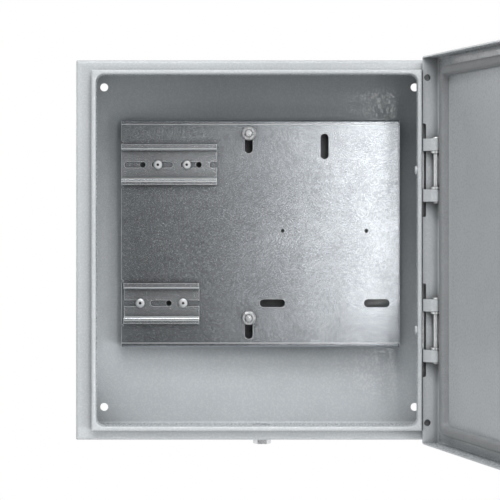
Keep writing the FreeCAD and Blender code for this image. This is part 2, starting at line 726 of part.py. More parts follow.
def make_turned(name, corners, plane="XY", axis="V_Axis"):
    """A round piece from the corners of its half section, beside the axis."""
    body = new_body(name)
    Outline(body, "profile", plane).polygon(corners).revolve("turned", axis)
    return body


def make_washer(name, outside, inside, thickness):
    """Plain washer from zero towards -Y."""
    outer, inner = outside / 2, inside / 2
    return make_turned(name, [(inner, 0), (outer, 0), (outer, -thickness), (inner, -thickness)])


def turn_corners(body, name, flats, level, inwards):
    """Turn off the corners of a hexagon at one face, at thirty degrees."""
    corner = flats / math.sqrt(3) + OVERCUT
    rise = (corner - flats / 2) * math.tan(math.radians(30)) * inwards
    outline = Outline(body, name + "_outline", "XY")
    outline.polygon([(flats / 2, level), (corner, level), (corner, level + rise)])
    outline.groove(name)


def make_hexagon(name, flats, height, bore=None, both_faces=True):
    """Hexagon nut or head from zero towards -Y, with its corners turned off."""
    body = new_body(name)
    Outline(body, "hexagon", "XZ").hexagon(flats).pad("block", height)
    turn_corners(body, "front_corners", flats, -height, 1)
    if both_faces:
        turn_corners(body, "rear_corners", flats, as_size(0), -1)
    if bore is not None:
        Outline(body, "bore_outline", "XZ").circle(0, 0, bore).pocket("bore", height, forwards=True)
        radius = bore / 2
        chamfer(body, "mouths", body.Tip, size("nut_mouth_chamfer"),
                lambda edge, at: near(math.hypot(at.x, at.z), radius) and not runs_along(edge, 1))
    return body


def make_plate_fasteners():
    """Welded studs of the back wall with their washers and nuts."""
    studs, washers, nuts = [], [], []
    foot_front = wall_inside + size("stud_foot_height")
    washer_front = plate_front + size("stud_washer_thickness")
    tip = washer_front + size("stud_nut_height") + size("stud_end")
    radius, foot = half("stud_diameter"), half("stud_foot_diameter")
    end = size("fastener_chamfer")
    for place_name, up in (("upper", stud_upper_z), ("lower", stud_lower_z)):
        stud = make_turned(f"stud_{place_name}", [
            (0, -wall_inside),
            (foot, -wall_inside),
            (foot, -foot_front),
            (radius, -foot_front),
            (radius, -tip + end),
            (radius - end, -tip),
            (0, -tip),
        ])
        place(stud, stud_x, 0, up)
        washer = make_washer(f"washer_{place_name}", size("stud_washer_diameter"),
                             size("stud_diameter") + size("bolt_clearance"), size("stud_washer_thickness"))
        place(washer, stud_x, -plate_front, up)
        nut = make_hexagon(f"nut_{place_name}", size("stud_nut_flats"), size("stud_nut_height"),
                           size("stud_diameter") + size("thread_clearance"))
        place(nut, stud_x, -washer_front, up)
        studs.append(stud)
        washers.append(washer)
        nuts.append(nut)
    return [group("plate_studs", studs), group("stud_washers", washers), group("stud_nuts", nuts)]


def make_earth_bolt():
    """Earth bolt up through the bottom wall, with its washers and nut."""
    x, y = size("earth_x"), size("earth_setback") - flange_front
    outside, inside = -half("box_height"), wall_inside - half("box_height")
    washer, radius, end = size("earth_washer_thickness"), half("earth_diameter"), size("fastener_chamfer")
    length = washer * 2 + wall_inside + size("earth_nut_height") + size("earth_end")

    bolt = make_hexagon("earth_bolt", size("earth_flats"), size("earth_head_height"), both_faces=False)
    shank = Outline(bolt, "shank_outline", "XY").polygon([
        (0, -half("earth_head_height")),
        (radius, -half("earth_head_height")),
        (radius, length - end),
        (radius - end, length),
        (0, length),
    ])
    shank.revolve("shank")
    place(bolt, x, y, outside - washer, fixed=FACING_DOWN)

    bore = size("earth_diameter") + size("bolt_clearance")
    under = make_washer("earth_washer_outside", size("earth_washer_diameter"), bore, washer)
    place(under, x, y, outside, fixed=FACING_DOWN)
    over = make_washer("earth_washer_inside", size("earth_washer_diameter"), bore, washer)
    place(over, x, y, inside, fixed=FACING_UP)
    nut = make_hexagon("earth_nut", size("earth_flats"), size("earth_nut_height"),
                       size("earth_diameter") + size("thread_clearance"))
    place(nut, x, y, inside + washer, fixed=FACING_UP)
    return [bolt, group("earth_washers", [under, over]), nut]


def make_hinge_leaf(name, up):
    """Riveted leaf with two arms, cranked clear of the gasket and rolled back round the hinge pin."""
    body = new_body(name)
    thick = size("leaf_thickness")
    pin_bore = size("pin_diameter") + size("running_clearance") * 2
    knuckle = pin_bore + thick * 2
    inner, outer = lip_right, lip_right + thick
    root = -flange_front - size("leaf_flange_gap")
    arm_front = -pin_depth - knuckle / 2
    arm_back = arm_front + thick
    bottom = up - half("leaf_height")
    crank = size("leaf_crank_angle")
    crest = pin_x - size("leaf_eye_run")
    heel = arm_front + (crest - inner) * tangent(crank)
    crest_back = crest + thick * tangent(crank / 2)
    heel_back = heel + thick * tangent((as_size(90) - crank) / 2)
    strip = Outline(body, "strip_outline", "XY", bottom).polygon([
        (inner, root),
        (outer, root),
        (outer, heel_back),
        (crest_back, arm_back),
        (pin_x, arm_back),
        (pin_x, arm_front),
        (crest, arm_front),
        (inner, heel),
    ])
    leaf = strip.pad("strip", size("leaf_height"))
    leaf = fillet(body, "inside_bends", leaf, size("leaf_bend_radius"), lambda edge, at: runs_along(edge, 2) and (
        near(at.y, heel_back) or (near(at.x, crest_back) and near(at.y, arm_back))))
    fillet(body, "outside_bends", leaf, size("leaf_bend_radius") + thick, lambda edge, at: runs_along(edge, 2) and (
        near(at.y, heel) or (near(at.x, crest) and near(at.y, arm_front))))
    roll = Outline(body, "roll_outline", "XY", bottom).circle(pin_x, -pin_depth, knuckle)
    roll.pad("roll", size("leaf_height"))
    bore = Outline(body, "bore_outline", "XY", bottom).circle(pin_x, -pin_depth, pin_bore)
    bore.pocket("bore", size("leaf_height"), forwards=True)
    rise = (knuckle / 2 - thick) / tangent(size("leaf_curl_end"))
    slit = Outline(body, "slit_outline", "XY", bottom).polygon([
        (pin_x, -pin_depth),
        (pin_x - rise, arm_back),
        (pin_x, arm_back),
    ])
    slit.pocket("slit", size("leaf_height"), forwards=True)

    middle = half("leaf_height") - size("leaf_arm_height")
    window = Outline(body, "window_outline", "YZ", inner)
    base_front = -flange_front - size("leaf_base_depth")
    reach = knuckle + size("pin_standoff")
    window.rectangle(base_front - reach, base_front, up - middle, up + middle)
    window.pocket("window", reach, forwards=True)

    hole = Outline(body, "rivet_outline", "YZ", inner)
    width = size("leaf_rivet_diameter") + size("rivet_clearance")
    hole.circle(-leaf_rivet_depth, up, width)
    hole = hole.pocket("rivet_hole", thick, forwards=True)
    chamfer(body, "rivet_sink", hole, size("leaf_rivet_sink"), lambda edge, at: near(at.x, outer) and near(
        math.hypot(at.y + leaf_rivet_depth.value, at.z - up.value), width / 2))
    return body


def make_hinge_pin(name, up):
    """Headed pin through both knuckles and the door bracket's ears."""
    radius, head = half("pin_diameter"), half("pin_head_diameter")
    end = size("fastener_chamfer")
    low = -half("leaf_height") - size("pin_end")
    seat = half("leaf_height") + size("running_clearance")
    top = seat + size("pin_head_height")
    pin = make_turned(name, [
        (0, low),
        (radius - end, low),
        (radius, low + end),
        (radius, seat),
        (head, seat),
        (head, top),
        (0, top),
    ], plane="XZ")
    fillet(pin, "head_dome", pin.Tip, size("pin_head_radius"), lambda edge, at: near(at.z, top))
    place(pin, pin_x, -pin_depth, up)
    return pin


def make_leaf_rivets():
    """One rivet a leaf through the folded lip, its tail flush in the leaf."""
    shank, head, sink = half("leaf_rivet_diameter"), half("leaf_rivet_head_diameter"), size("leaf_rivet_sink")
    seat, under = size("leaf_thickness"), -size("lip_thickness")
    crown = under - size("leaf_rivet_head_height")
    rivets = []
    for place_name, up in hinge_heights.items():
        rivet = make_turned(f"leaf_rivet_{place_name}", [
            (crown, 0),
            (crown, head),
            (under, head),
            (under, shank),
            (seat - sink, shank),
            (seat, shank + sink),
            (seat, 0),
        ], axis="H_Axis")
        fillet(rivet, "dome", rivet.Tip, size("leaf_rivet_dome_radius"), lambda edge, at: (
            near(at.x, crown) and near(math.hypot(at.y, at.z), head)))
        place(rivet, lip_right, -leaf_rivet_depth, up)
        rivets.append(rivet)
    return group("hinge_leaf_rivets", rivets)


def make_door_shell():
    """Shallow tray with welded corners, cut back at the hinges."""
    body = new_body("door_shell")
    left, right, height = door_left, door_right, door_half_height
    block = Outline(body, "door_outline", "XZ", -door_edge).rectangle(left, right, -height, height)
    door = block.pad("door", door_edge - door_face)
    door = fillet(body, "corner_seams", door, size("door_seam_radius"), lambda edge, at: runs_along(edge, 1))
    fillet(body, "folds", door, size("bend_radius"), lambda edge, at: near(at.y, door_face))
    tray = Outline(body, "tray_outline", "XZ", -door_edge)
    tray.rectangle(left + wall_inside, right - wall_inside, wall_inside - height, height - wall_inside)
    tray = tray.pocket("tray", door_edge - door_inside, forwards=True)
    fillet(body, "inner_folds", tray, size("bend_radius") - wall_inside,
           lambda edge, at: near(at.y, door_inside))

    notches = Outline(body, "notch_outline", "YZ", right + OVERCUT)
    floor = door_edge - size("notch_depth")
    for up in hinge_heights.values():
        low, high = up - half("notch_height"), up + half("notch_height")
        notches.rectangle(floor, door_edge + OVERCUT, low, high)
    notched = notches.pocket("notches", wall_inside + OVERCUT * 2)
    fillet(body, "notch_corners", notched, size("notch_radius"),
           lambda edge, at: runs_along(edge, 0) and near(at.y, floor))

    holes = Outline(body, "fold_hole_outline", "YZ", right + OVERCUT)
    hole_z = height - size("fold_hole_end")
    for up in (-hole_z, hole_z):
        holes.circle(door_edge - size("fold_hole_edge"), up, size("fold_hole_diameter"))
    holes.pocket("fold_holes", wall_inside + OVERCUT * 2)
    lock = Outline(body, "lock_hole_outline", "XZ", -door_inside)
    lock.circle(lock_x, 0, size("lock_barrel_diameter") + size("lock_hole_clearance"))
    lock.pocket("lock_hole", wall_inside, forwards=True)
    place_on_door(body)
    return body


def make_hinge_bracket(name, up):
    """U-shaped bracket on the door's inner face; its ears stand between the knuckles."""
    body = new_body(name)
    height = size("leaf_height") - size("leaf_arm_height") * 2 - size("bracket_end_gap") * 2
    half_width, reach = half("bracket_width"), height / 2
    thick = size("leaf_thickness")
    web = Outline(body, "web_outline", "XY", -reach).rectangle(-half_width, half_width, door_inside, 0)
    block = web.pad("block", height)
    fillet(body, "outer_folds", block, size("bracket_bend_radius"),
           lambda edge, at: runs_along(edge, 0) and near(at.y, door_inside))
    ears = Outline(body, "ear_outline", "XY", -reach).circle(0, 0, size("bracket_width"))
    ears.pad("ears", height)
    middle = Outline(body, "middle_outline", "YZ", -half_width - OVERCUT)
    middle.rectangle(door_inside + thick, half_width + OVERCUT, thick - reach, reach - thick)
    middle = middle.pocket("middle", size("bracket_width") + OVERCUT * 2, forwards=True)
    fillet(body, "inner_folds", middle, size("bracket_bend_radius") - thick,
           lambda edge, at: runs_along(edge, 0) and near(at.y, door_inside + thick))
    bore = Outline(body, "bore_outline", "XY", -reach)
    bore.circle(0, 0, size("pin_diameter") + size("running_clearance") * 2)
    bore.pocket("bore", height, forwards=True)
    place_on_door(body, up=up)
    return body


def make_door_gasket():
    """Foam ring that meets the lip when the door is closed."""
    body = new_body("door_gasket")
    reach = half("gasket_width")
    left = -(lip_left + opening_left) / 2 - pin_x
    right = (lip_right + opening_right) / 2 - pin_x
    high = (lip_top + opening_top) / 2
    ring = Outline(body, "ring_outline", "XZ", -door_inside)
    ring.rectangle(left - reach, right + reach, -high - reach, high + reach)
    ring.rectangle(left + reach, right - reach, -high + reach, high - reach)
    lip_level = size("pin_standoff") - size("lip_height") - size("gasket_lip_gap")
    ring = ring.pad("ring", lip_level - door_inside, backwards=True)
    edge_left, edge_right = left - reach, right + reach
    ring = fillet(body, "outside_corners", ring, size("gasket_corner_radius"),
                  lambda edge, at: runs_along(edge, 1) and (near(at.x, edge_left) or near(at.x, edge_right)))
    hole_left, hole_right = left + reach, right - reach
    fillet(body, "inside_corners", ring, size("gasket_corner_radius") - size("gasket_width"),
           lambda edge, at: runs_along(edge, 1) and (near(at.x, hole_left) or near(at.x, hole_right)))
    place_on_door(body)
    return body


def make_lock_housing():
    """Round-headed housing of the quarter-turn lock, clamped through the door."""
    clearance = size("running_clearance")
    collar = half("plug_collar_diameter") + clearance
    seat = lock_face + size("plug_collar_height") + clearance * 2
    bore, barrel = half("plug_diameter") + clearance, half("lock_barrel_diameter")
    head, bevel = half("lock_head_diameter"), size("lock_head_bevel")
    end = cam_front - size("cam_housing_gap")
    housing = make_turned("lock_housing", [
        (collar, lock_face),
        (head - bevel, lock_face),
        (head, lock_face + bevel),
        (head, door_face),
        (barrel, door_face),
        (barrel, end - size("fastener_chamfer")),
        (barrel - size("fastener_chamfer"), end),
        (bore, end),
        (bore, seat),
        (collar, seat),
    ])
    place_on_door(housing, lock_x)
    return housing


def make_lock_nut():
    """Thin nut that clamps the housing from inside."""
    nut = make_hexagon("lock_nut", size("lock_nut_flats"), size("lock_nut_height"),
                       size("lock_barrel_diameter") + size("thread_clearance"))
    place_on_door(nut, lock_x, door_inside, about_face=True)
    return nut


def make_lock_plug():
    """Turning plug with a key well at its face and a square end for the cam."""
    clearance = size("running_clearance")
    radius, collar = half("plug_diameter"), half("plug_collar_diameter")
    face = lock_face + clearance
    under_collar = face + size("plug_collar_height")
    plug = make_turned("lock_plug", [
        (0, face),
        (collar, face),
        (collar, under_collar),
        (radius, under_collar),
        (radius, cam_front),
        (0, cam_front),
    ])
    reach = half("plug_square")
    square = Outline(plug, "square_outline", "XZ", -cam_front).rectangle(-reach, reach, -reach, reach)
    square.pad("square", size("cam_thickness") - size("plug_square_setback"), backwards=True)
    well_floor = face + size("key_well_depth")
    well = Outline(plug, "well_outline", "XZ", -face).circle(0, 0, size("key_well_diameter"))
    well.pocket("key_well", size("key_well_depth"))
    peg_height = size("key_well_depth") - size("key_peg_setback")
    peg = Outline(plug, "peg_outline", "XZ", -well_floor).circle(0, 0, size("key_peg_diameter"))
    peg.pad("peg", peg_height)
    bit_width, bit_reach = half("key_bit_width"), half("key_bit_span")
    bits = Outline(plug, "bit_outline", "XZ", -well_floor)
    bits.rectangle(-bit_width, bit_width, -bit_reach, bit_reach)
    bits.pad("bits", peg_height)
    hole = Outline(plug, "screw_outline", "XZ", -cam_front - size("cam_thickness"))
    hole.circle(0, 0, size("cam_screw_diameter") + size("thread_clearance"))
    hole.pocket("screw_hole", size("cam_screw_length") + size("screw_hole_reserve"), forwards=True)
    place_on_door(plug, lock_x)
    return plug


def make_lock_cam():
    """Flat cam that reaches behind the flange when the plug is turned."""
    body = new_body("lock_cam")
    width, nose, corner = half("cam_width"), size("cam_reach"), size("cam_chamfer")
    arm = Outline(body, "arm_outline", "XZ", -cam_front).polygon([
        (-width, 0),
        (-width, -nose + corner),
        (-width + corner, -nose),
        (width - corner, -nose),
        (width, -nose + corner),
        (width, 0),
    ])
    arm.pad("arm", size("cam_thickness"), backwards=True)
    eye = Outline(body, "eye_outline", "XZ", -cam_front).circle(0, 0, size("cam_width"))
    eye.pad("eye", size("cam_thickness"), backwards=True)
    reach = half("plug_square") + size("running_clearance")
    hole = Outline(body, "square_outline", "XZ", -cam_front).rectangle(-reach, reach, -reach, reach)
    hole.pocket("square", size("cam_thickness"))
    place_on_door(body, lock_x)
    return body


def make_cam_screw():
    """Screw and washer that hold the cam on the plug."""
    seat = cam_front + size("cam_thickness")
    washer = make_washer("cam_washer", size("cam_washer_diameter"),
                         size("cam_screw_diameter") + size("bolt_clearance"), size("cam_washer_thickness"))
    place_on_door(washer, lock_x, seat, about_face=True)
    flats, head = size("cam_screw_flats"), size("cam_screw_head_height")
    screw = make_hexagon("cam_screw", flats, head, both_faces=False)
    radius, length = half("cam_screw_diameter"), size("cam_washer_thickness") + size("cam_screw_length")
    end = size("fastener_chamfer")
    shank = Outline(screw, "shank_outline", "XY").polygon([
        (0, -head / 2),
        (radius, -head / 2),
        (radius, length - end),
        (radius - end, length),
        (0, length),
    ])
    shank.revolve("shank")
    place_on_door(screw, lock_x, seat + size("cam_washer_thickness"), about_face=True)
    return [washer, screw]


def check_and_write(pieces):
    """Stop on any failed object, then write each sub-part to its own file."""
    for item in DOCUMENT.Objects:
        if "Invalid" in item.State or "Error" in item.State:
            raise RuntimeError(f"{item.Label} failed: {item.State}")
    os.makedirs("parts", exist_ok=True)
    for piece in pieces:
        if piece.Shape.isNull() or not piece.Shape.isValid():
            raise RuntimeError(f"{piece.Label} has no valid shape")
        piece.Shape.exportStep(os.path.join("parts", f"{piece.Label}.step"))
        print(piece.Label, len(piece.Shape.Solids), round(piece.Shape.Volume, 1))


pieces = [
    make_body_shell(),
    make_mounting_plate(),
    *make_plate_fasteners(),
    *make_rails(),
    *make_earth_bolt(),
    *[make_hinge_leaf(f"hinge_leaf_{name}", up) for name, up in hinge_heights.items()],
    *[make_hinge_pin(f"hinge_pin_{name}", up) for name, up in hinge_heights.items()],
    make_leaf_rivets(),
    make_door_shell(),
    *[make_hinge_bracket(f"hinge_bracket_{name}", up) for name, up in hinge_heights.items()],
    make_door_gasket(),
    make_lock_housing(),
    make_lock_nut(),
    make_lock_plug(),
    make_lock_cam(),
    *make_cam_screw(),
]
DOCUMENT.recompute()
check_and_write(pieces)
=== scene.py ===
"""Steel wall enclosure with its door open: finishes, fine pieces, lights and camera.

Metres. X is to the right, Y into the wall and Z up, with the origin between the four wall
holes on the rear face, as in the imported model.
"""

from __future__ import annotations

import json
import logging
import math
from dataclasses import dataclass, field
from enum import Enum
from typing import Protocol, Sequence

import bpy
import numpy as np
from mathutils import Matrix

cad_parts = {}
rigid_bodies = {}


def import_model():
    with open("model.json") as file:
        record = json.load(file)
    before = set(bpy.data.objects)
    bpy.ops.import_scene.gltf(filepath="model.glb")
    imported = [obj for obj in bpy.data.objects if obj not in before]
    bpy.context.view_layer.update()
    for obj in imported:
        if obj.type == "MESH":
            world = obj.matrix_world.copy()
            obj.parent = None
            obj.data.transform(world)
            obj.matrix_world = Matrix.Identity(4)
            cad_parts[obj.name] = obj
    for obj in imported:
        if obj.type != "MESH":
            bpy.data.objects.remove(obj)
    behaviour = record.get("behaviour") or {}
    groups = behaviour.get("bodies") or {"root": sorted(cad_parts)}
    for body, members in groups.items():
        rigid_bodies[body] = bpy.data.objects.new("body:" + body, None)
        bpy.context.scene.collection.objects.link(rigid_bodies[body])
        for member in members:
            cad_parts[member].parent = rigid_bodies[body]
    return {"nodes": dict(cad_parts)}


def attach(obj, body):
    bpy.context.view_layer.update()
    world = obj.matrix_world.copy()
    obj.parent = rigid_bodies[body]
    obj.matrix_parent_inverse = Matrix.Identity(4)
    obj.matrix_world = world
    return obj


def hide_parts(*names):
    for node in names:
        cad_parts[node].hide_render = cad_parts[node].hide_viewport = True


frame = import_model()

LOG = logging.getLogger("wall_enclosure")

Colour = tuple[float, float, float]
Place = tuple[float, float, float]
Shape = tuple[np.ndarray, list[list[int]]]
Socket = bpy.types.NodeSocket

SHARP_DEGREES = 32.0
EDGE_SAMPLES = 8
RECESS_SAMPLES = 6


class Slot(Enum):
    """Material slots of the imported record."""

    PAINT = "enclosure_paint"
    GALVANISED = "galvanised_sheet"
    FASTENER = "zinc_fastener"
    RIVET = "rivet_aluminium"
    HINGE = "hinge_zinc"
    FOAM = "gasket_foam"
    LOCK = "lock_metal"
    CAM = "cam_steel"


class Body(Enum):
    """Bodies that move by themselves."""

    ENCLOSURE = "enclosure"
    DOOR = "door"
    LOCK = "lock"


@dataclass
class ShaderGraph:
    """Short way to add shader nodes to one material and to join them.

    Attributes:
        name: The material's name.
    """

    name: str
    material: bpy.types.Material = field(init=False)

    def __post_init__(self) -> None:
        """Start from a Principled surface and object coordinates."""
        self.material = bpy.data.materials.new(self.name)
        self.material.use_nodes = True
        self.tree = self.material.node_tree
        self.surface = self.tree.nodes["Principled BSDF"]
        self.coordinates = self.add("ShaderNodeTexCoord").outputs["Object"]

    def add(self, kind: str, **values: object) -> bpy.types.Node:
        """Add one node.

        Args:
            kind: Blender's name for the node type.
            **values: Input sockets by name with spaces as underscores; a socket is linked.

        Returns:
            The new node.
        """
        node = self.tree.nodes.new(kind)
        for key, value in values.items():
            self.join(value, node.inputs[key.replace("_", " ")])
        return node

    def join(self, value: object, target: Socket) -> None:
        """Link a socket to the target, or set a plain value on it.

        Args:
            value: A socket, a number or a colour.
            target: The input that takes it.
        """
        if isinstance(value, bpy.types.NodeSocket):
            self.tree.links.new(value, target)
        else:
            target.default_value = value

    def place(self, scale: Sequence[float] = (1, 1, 1), turn: Sequence[float] = (0, 0, 0)) -> Socket:
        """Stretch and turn the object coordinates.

        Args:
            scale: Factor along each axis.
            turn: Turn about each axis, in radians.

        Returns:
            The new coordinates.
        """
        node = self.add("ShaderNodeMapping", Vector=self.coordinates)
        node.inputs["Scale"].default_value = scale
        node.inputs["Rotation"].default_value = turn
        return node.outputs["Vector"]

    def noise(self, scale: float, detail: float = 2.0, rough: float = 0.5,
              at: Socket | None = None) -> Socket:
        """Make fractal noise.

        Args:
            scale: Lumps to the metre.
            detail: How many finer layers lie on it.
            rough: How strong each finer layer is beside the one before.
            at: Coordinates, or the object's own.

        Returns:
            A value from 0 to 1.
        """
        vector = self.coordinates if at is None else at
        node = self.add("ShaderNodeTexNoise", Vector=vector, Scale=scale, Detail=detail, Roughness=rough)
        return node.outputs["Fac"]

    def crystals(self, scale: float) -> Socket:
        """Give each cell of a Voronoi pattern one random grey.

        Args:
            scale: Cells to the metre.

        Returns:
            A value from 0 to 1.
        """
        node = self.add("ShaderNodeTexVoronoi", Vector=self.coordinates, Scale=scale)
        grey = self.add("ShaderNodeSeparateColor", Color=node.outputs["Color"])
        return grey.outputs["Red"]

    def pores(self, scale: float) -> Socket:
        """Distance to the nearest cell centre of a Voronoi pattern."""
        node = self.add("ShaderNodeTexVoronoi", Vector=self.coordinates, Scale=scale)
        return node.outputs["Distance"]

    def remap(self, value: Socket, start: float, end: float, low: float = 0.0, high: float = 1.0) -> Socket:
        """Stretch a value linearly and hold it at both ends.

        Args:
            value: What is stretched.
            start: Result at the low value and beyond it.
            end: Result at the high value and beyond it.
            low: Value that gives the start.
            high: Value that gives the end.

        Returns:
            The stretched value.
        """
        node = self.add("ShaderNodeMapRange", Value=value)
        for key, number in (("From Min", low), ("From Max", high), ("To Min", start), ("To Max", end)):
            node.inputs[key].default_value = number
        return node.outputs["Result"]

    def combine(self, first: Socket, second: Socket | float, how: str) -> Socket:
        """Join two values by one arithmetic operation.

        Args:
            first: Left value.
            second: Right value.
            how: Blender's name for the operation.

        Returns:
            The result.
        """
        node = self.tree.nodes.new("ShaderNodeMath")
        node.operation = how
        self.join(first, node.inputs[0])
        self.join(second, node.inputs[1])
        return node.outputs["Value"]

    def blend(self, share: Socket, first: Colour | Socket, second: Colour | Socket) -> Socket:
        """Mix two colours.

        Args:
            share: Share of the second colour.
            first: Colour where the share is 0.
            second: Colour where it is 1.

        Returns:
            The mixed colour.
        """
        node = self.tree.nodes.new("ShaderNodeMix")
        node.data_type = "RGBA"
        self.join(share, node.inputs["Factor"])
        for socket, colour in ((node.inputs[6], first), (node.inputs[7], second)):
            self.join(colour if isinstance(colour, bpy.types.NodeSocket) else (*colour, 1.0), socket)
        return node.outputs[2]

    def relief(self, height: Socket, strength: float, distance: float) -> Socket:
        """Bump from a height map whose unit is that many metres."""
        node = self.add("ShaderNodeBump", Height=height, Strength=strength, Distance=distance)
        return node.outputs["Normal"]

    def along(self, axis: str) -> Socket:
        """One of the object coordinates, X, Y or Z."""
        return self.add("ShaderNodeSeparateXYZ", Vector=self.coordinates).outputs[axis]

    def edges(self, radius: float) -> Socket:
        """How near a spot is to an edge.

        The surface's own direction is compared with the direction that it would have with its edges
        rounded, by the cosine of the angle between them.

        Args:
            radius: Radius of the rounding, in metres.

        Returns:
            A value from 0 away from the edges to 1 on them.
        """
        unturned, turned = 0.99, 0.82
        rounded = self.add("ShaderNodeBevel", Radius=radius)
        rounded.samples = EDGE_SAMPLES
        own = self.add("ShaderNodeNewGeometry").outputs["Normal"]
        turn = self.tree.nodes.new("ShaderNodeVectorMath")
        turn.operation = "DOT_PRODUCT"
        self.join(rounded.outputs["Normal"], turn.inputs[0])
        self.join(own, turn.inputs[1])
        return self.remap(turn.outputs["Value"], 0.0, 1.0, unturned, turned)

    def recess(self, reach: float, open_share: tuple[float, float]) -> Socket:
        """How open a spot is to its surroundings.

        Args:
            reach: How far off a neighbour still counts, in metres.
            open_share: Open shares of the sky that give 0 and 1.

        Returns:
            A value from 0 in a deep recess to 1 in the open.
        """
        node = self.add("ShaderNodeAmbientOcclusion", Distance=reach)
        node.samples = RECESS_SAMPLES
        return self.remap(node.outputs["AO"], 0.0, 1.0, *open_share)

    def finish(self, **values: object) -> bpy.types.Material:
        """Set the surface's own sockets.

        Args:
            **values: Surface sockets by name with spaces as underscores.

        Returns:
            The finished material.
        """
        for key, value in values.items():
            self.join(value, self.surface.inputs[key.replace("_", " ")])
        return self.material


class Finish(Protocol):
    """Anything that can make one material."""

    def make(self, name: str) -> bpy.types.Material:
        """Build the material under that name."""
        ...


@dataclass(frozen=True)
class PowderCoat:
    """Light grey powder coat: a fine pebbled skin with a soft gloss.

    Attributes:
        colour: Linear colour of the paint.
        shade: Linear colour where the film is thinner.
        painted_recess_shade: Linear colour of the painted shade deep between the plate and the wall.
        recess_shade_reach: How near a neighbour has to be for the painted shade to fall.
        recess_shade_open: Open shares of the sky with full painted shade and with none.
        clouds: Lumps to the metre of the film's uneven thickness.
        pebbles: Lumps to the metre of the pebbled skin.
        depth: Height of the pebbles in metres.
        gloss: Roughness of the pebbles' tops and of the hollows between them.
        tops: Height of the skin, from 0 to 1, where a pebble's top starts and is full.
        painted_glint: Share of white painted on the pebbles' tops as glint.
    """

    colour: Colour = (0.60, 0.63, 0.65)
    shade: Colour = (0.50, 0.525, 0.545)
    painted_recess_shade: Colour = (0.045, 0.048, 0.052)
    recess_shade_reach: float = 0.045
    recess_shade_open: tuple[float, float] = (0.10, 0.48)
    clouds: float = 38.0
    pebbles: float = 600.0
    depth: float = 0.00006
    gloss: tuple[float, float] = (0.09, 0.45)
    tops: tuple[float, float] = (0.53, 0.56)
    painted_glint: float = 0.22

    def make(self, name: str) -> bpy.types.Material:
        """Lay the coat: uneven film, pebbled skin with white painted on the smooth tops as glint, and painted
        shade in the recesses.

        Args:
            name: The material's name, which is its slot's.

        Returns:
            The material.
        """
        graph = ShaderGraph(name)
        finer = 2.7
        skin = graph.noise(self.pebbles, detail=1.5, rough=0.45)
        fine = graph.noise(self.pebbles * finer, detail=1.0)
        cloud = graph.noise(self.clouds, detail=3.0)
        speck = graph.remap(fine, start=0.0, end=0.35, low=0.55, high=0.8)
        thin = graph.remap(cloud, start=0.0, end=0.30, low=0.3, high=0.75)
        share = graph.combine(thin, speck, "ADD")
        top = graph.remap(skin, 0.0, 1.0, *self.tops)
        film = graph.blend(share, self.colour, self.shade)
        # Painted glint: white is mixed into the paint on the smooth pebble tops.
        film = graph.blend(graph.remap(top, 0.0, self.painted_glint), film, (1.0, 1.0, 1.0))
        # Painted shade: the colour darkens where neighbours close a spot in, deepest between the plate and
        # the wall.
        colour = graph.blend(graph.recess(self.recess_shade_reach, self.recess_shade_open), self.painted_recess_shade, film)
        height = graph.combine(skin, graph.remap(fine, start=0.0, end=0.25), "ADD")
        relief = graph.relief(height, strength=0.55, distance=self.depth)
        return graph.finish(Base_Color=colour, Metallic=0.0, Normal=relief,
                            Roughness=graph.remap(top, self.gloss[1], self.gloss[0]))


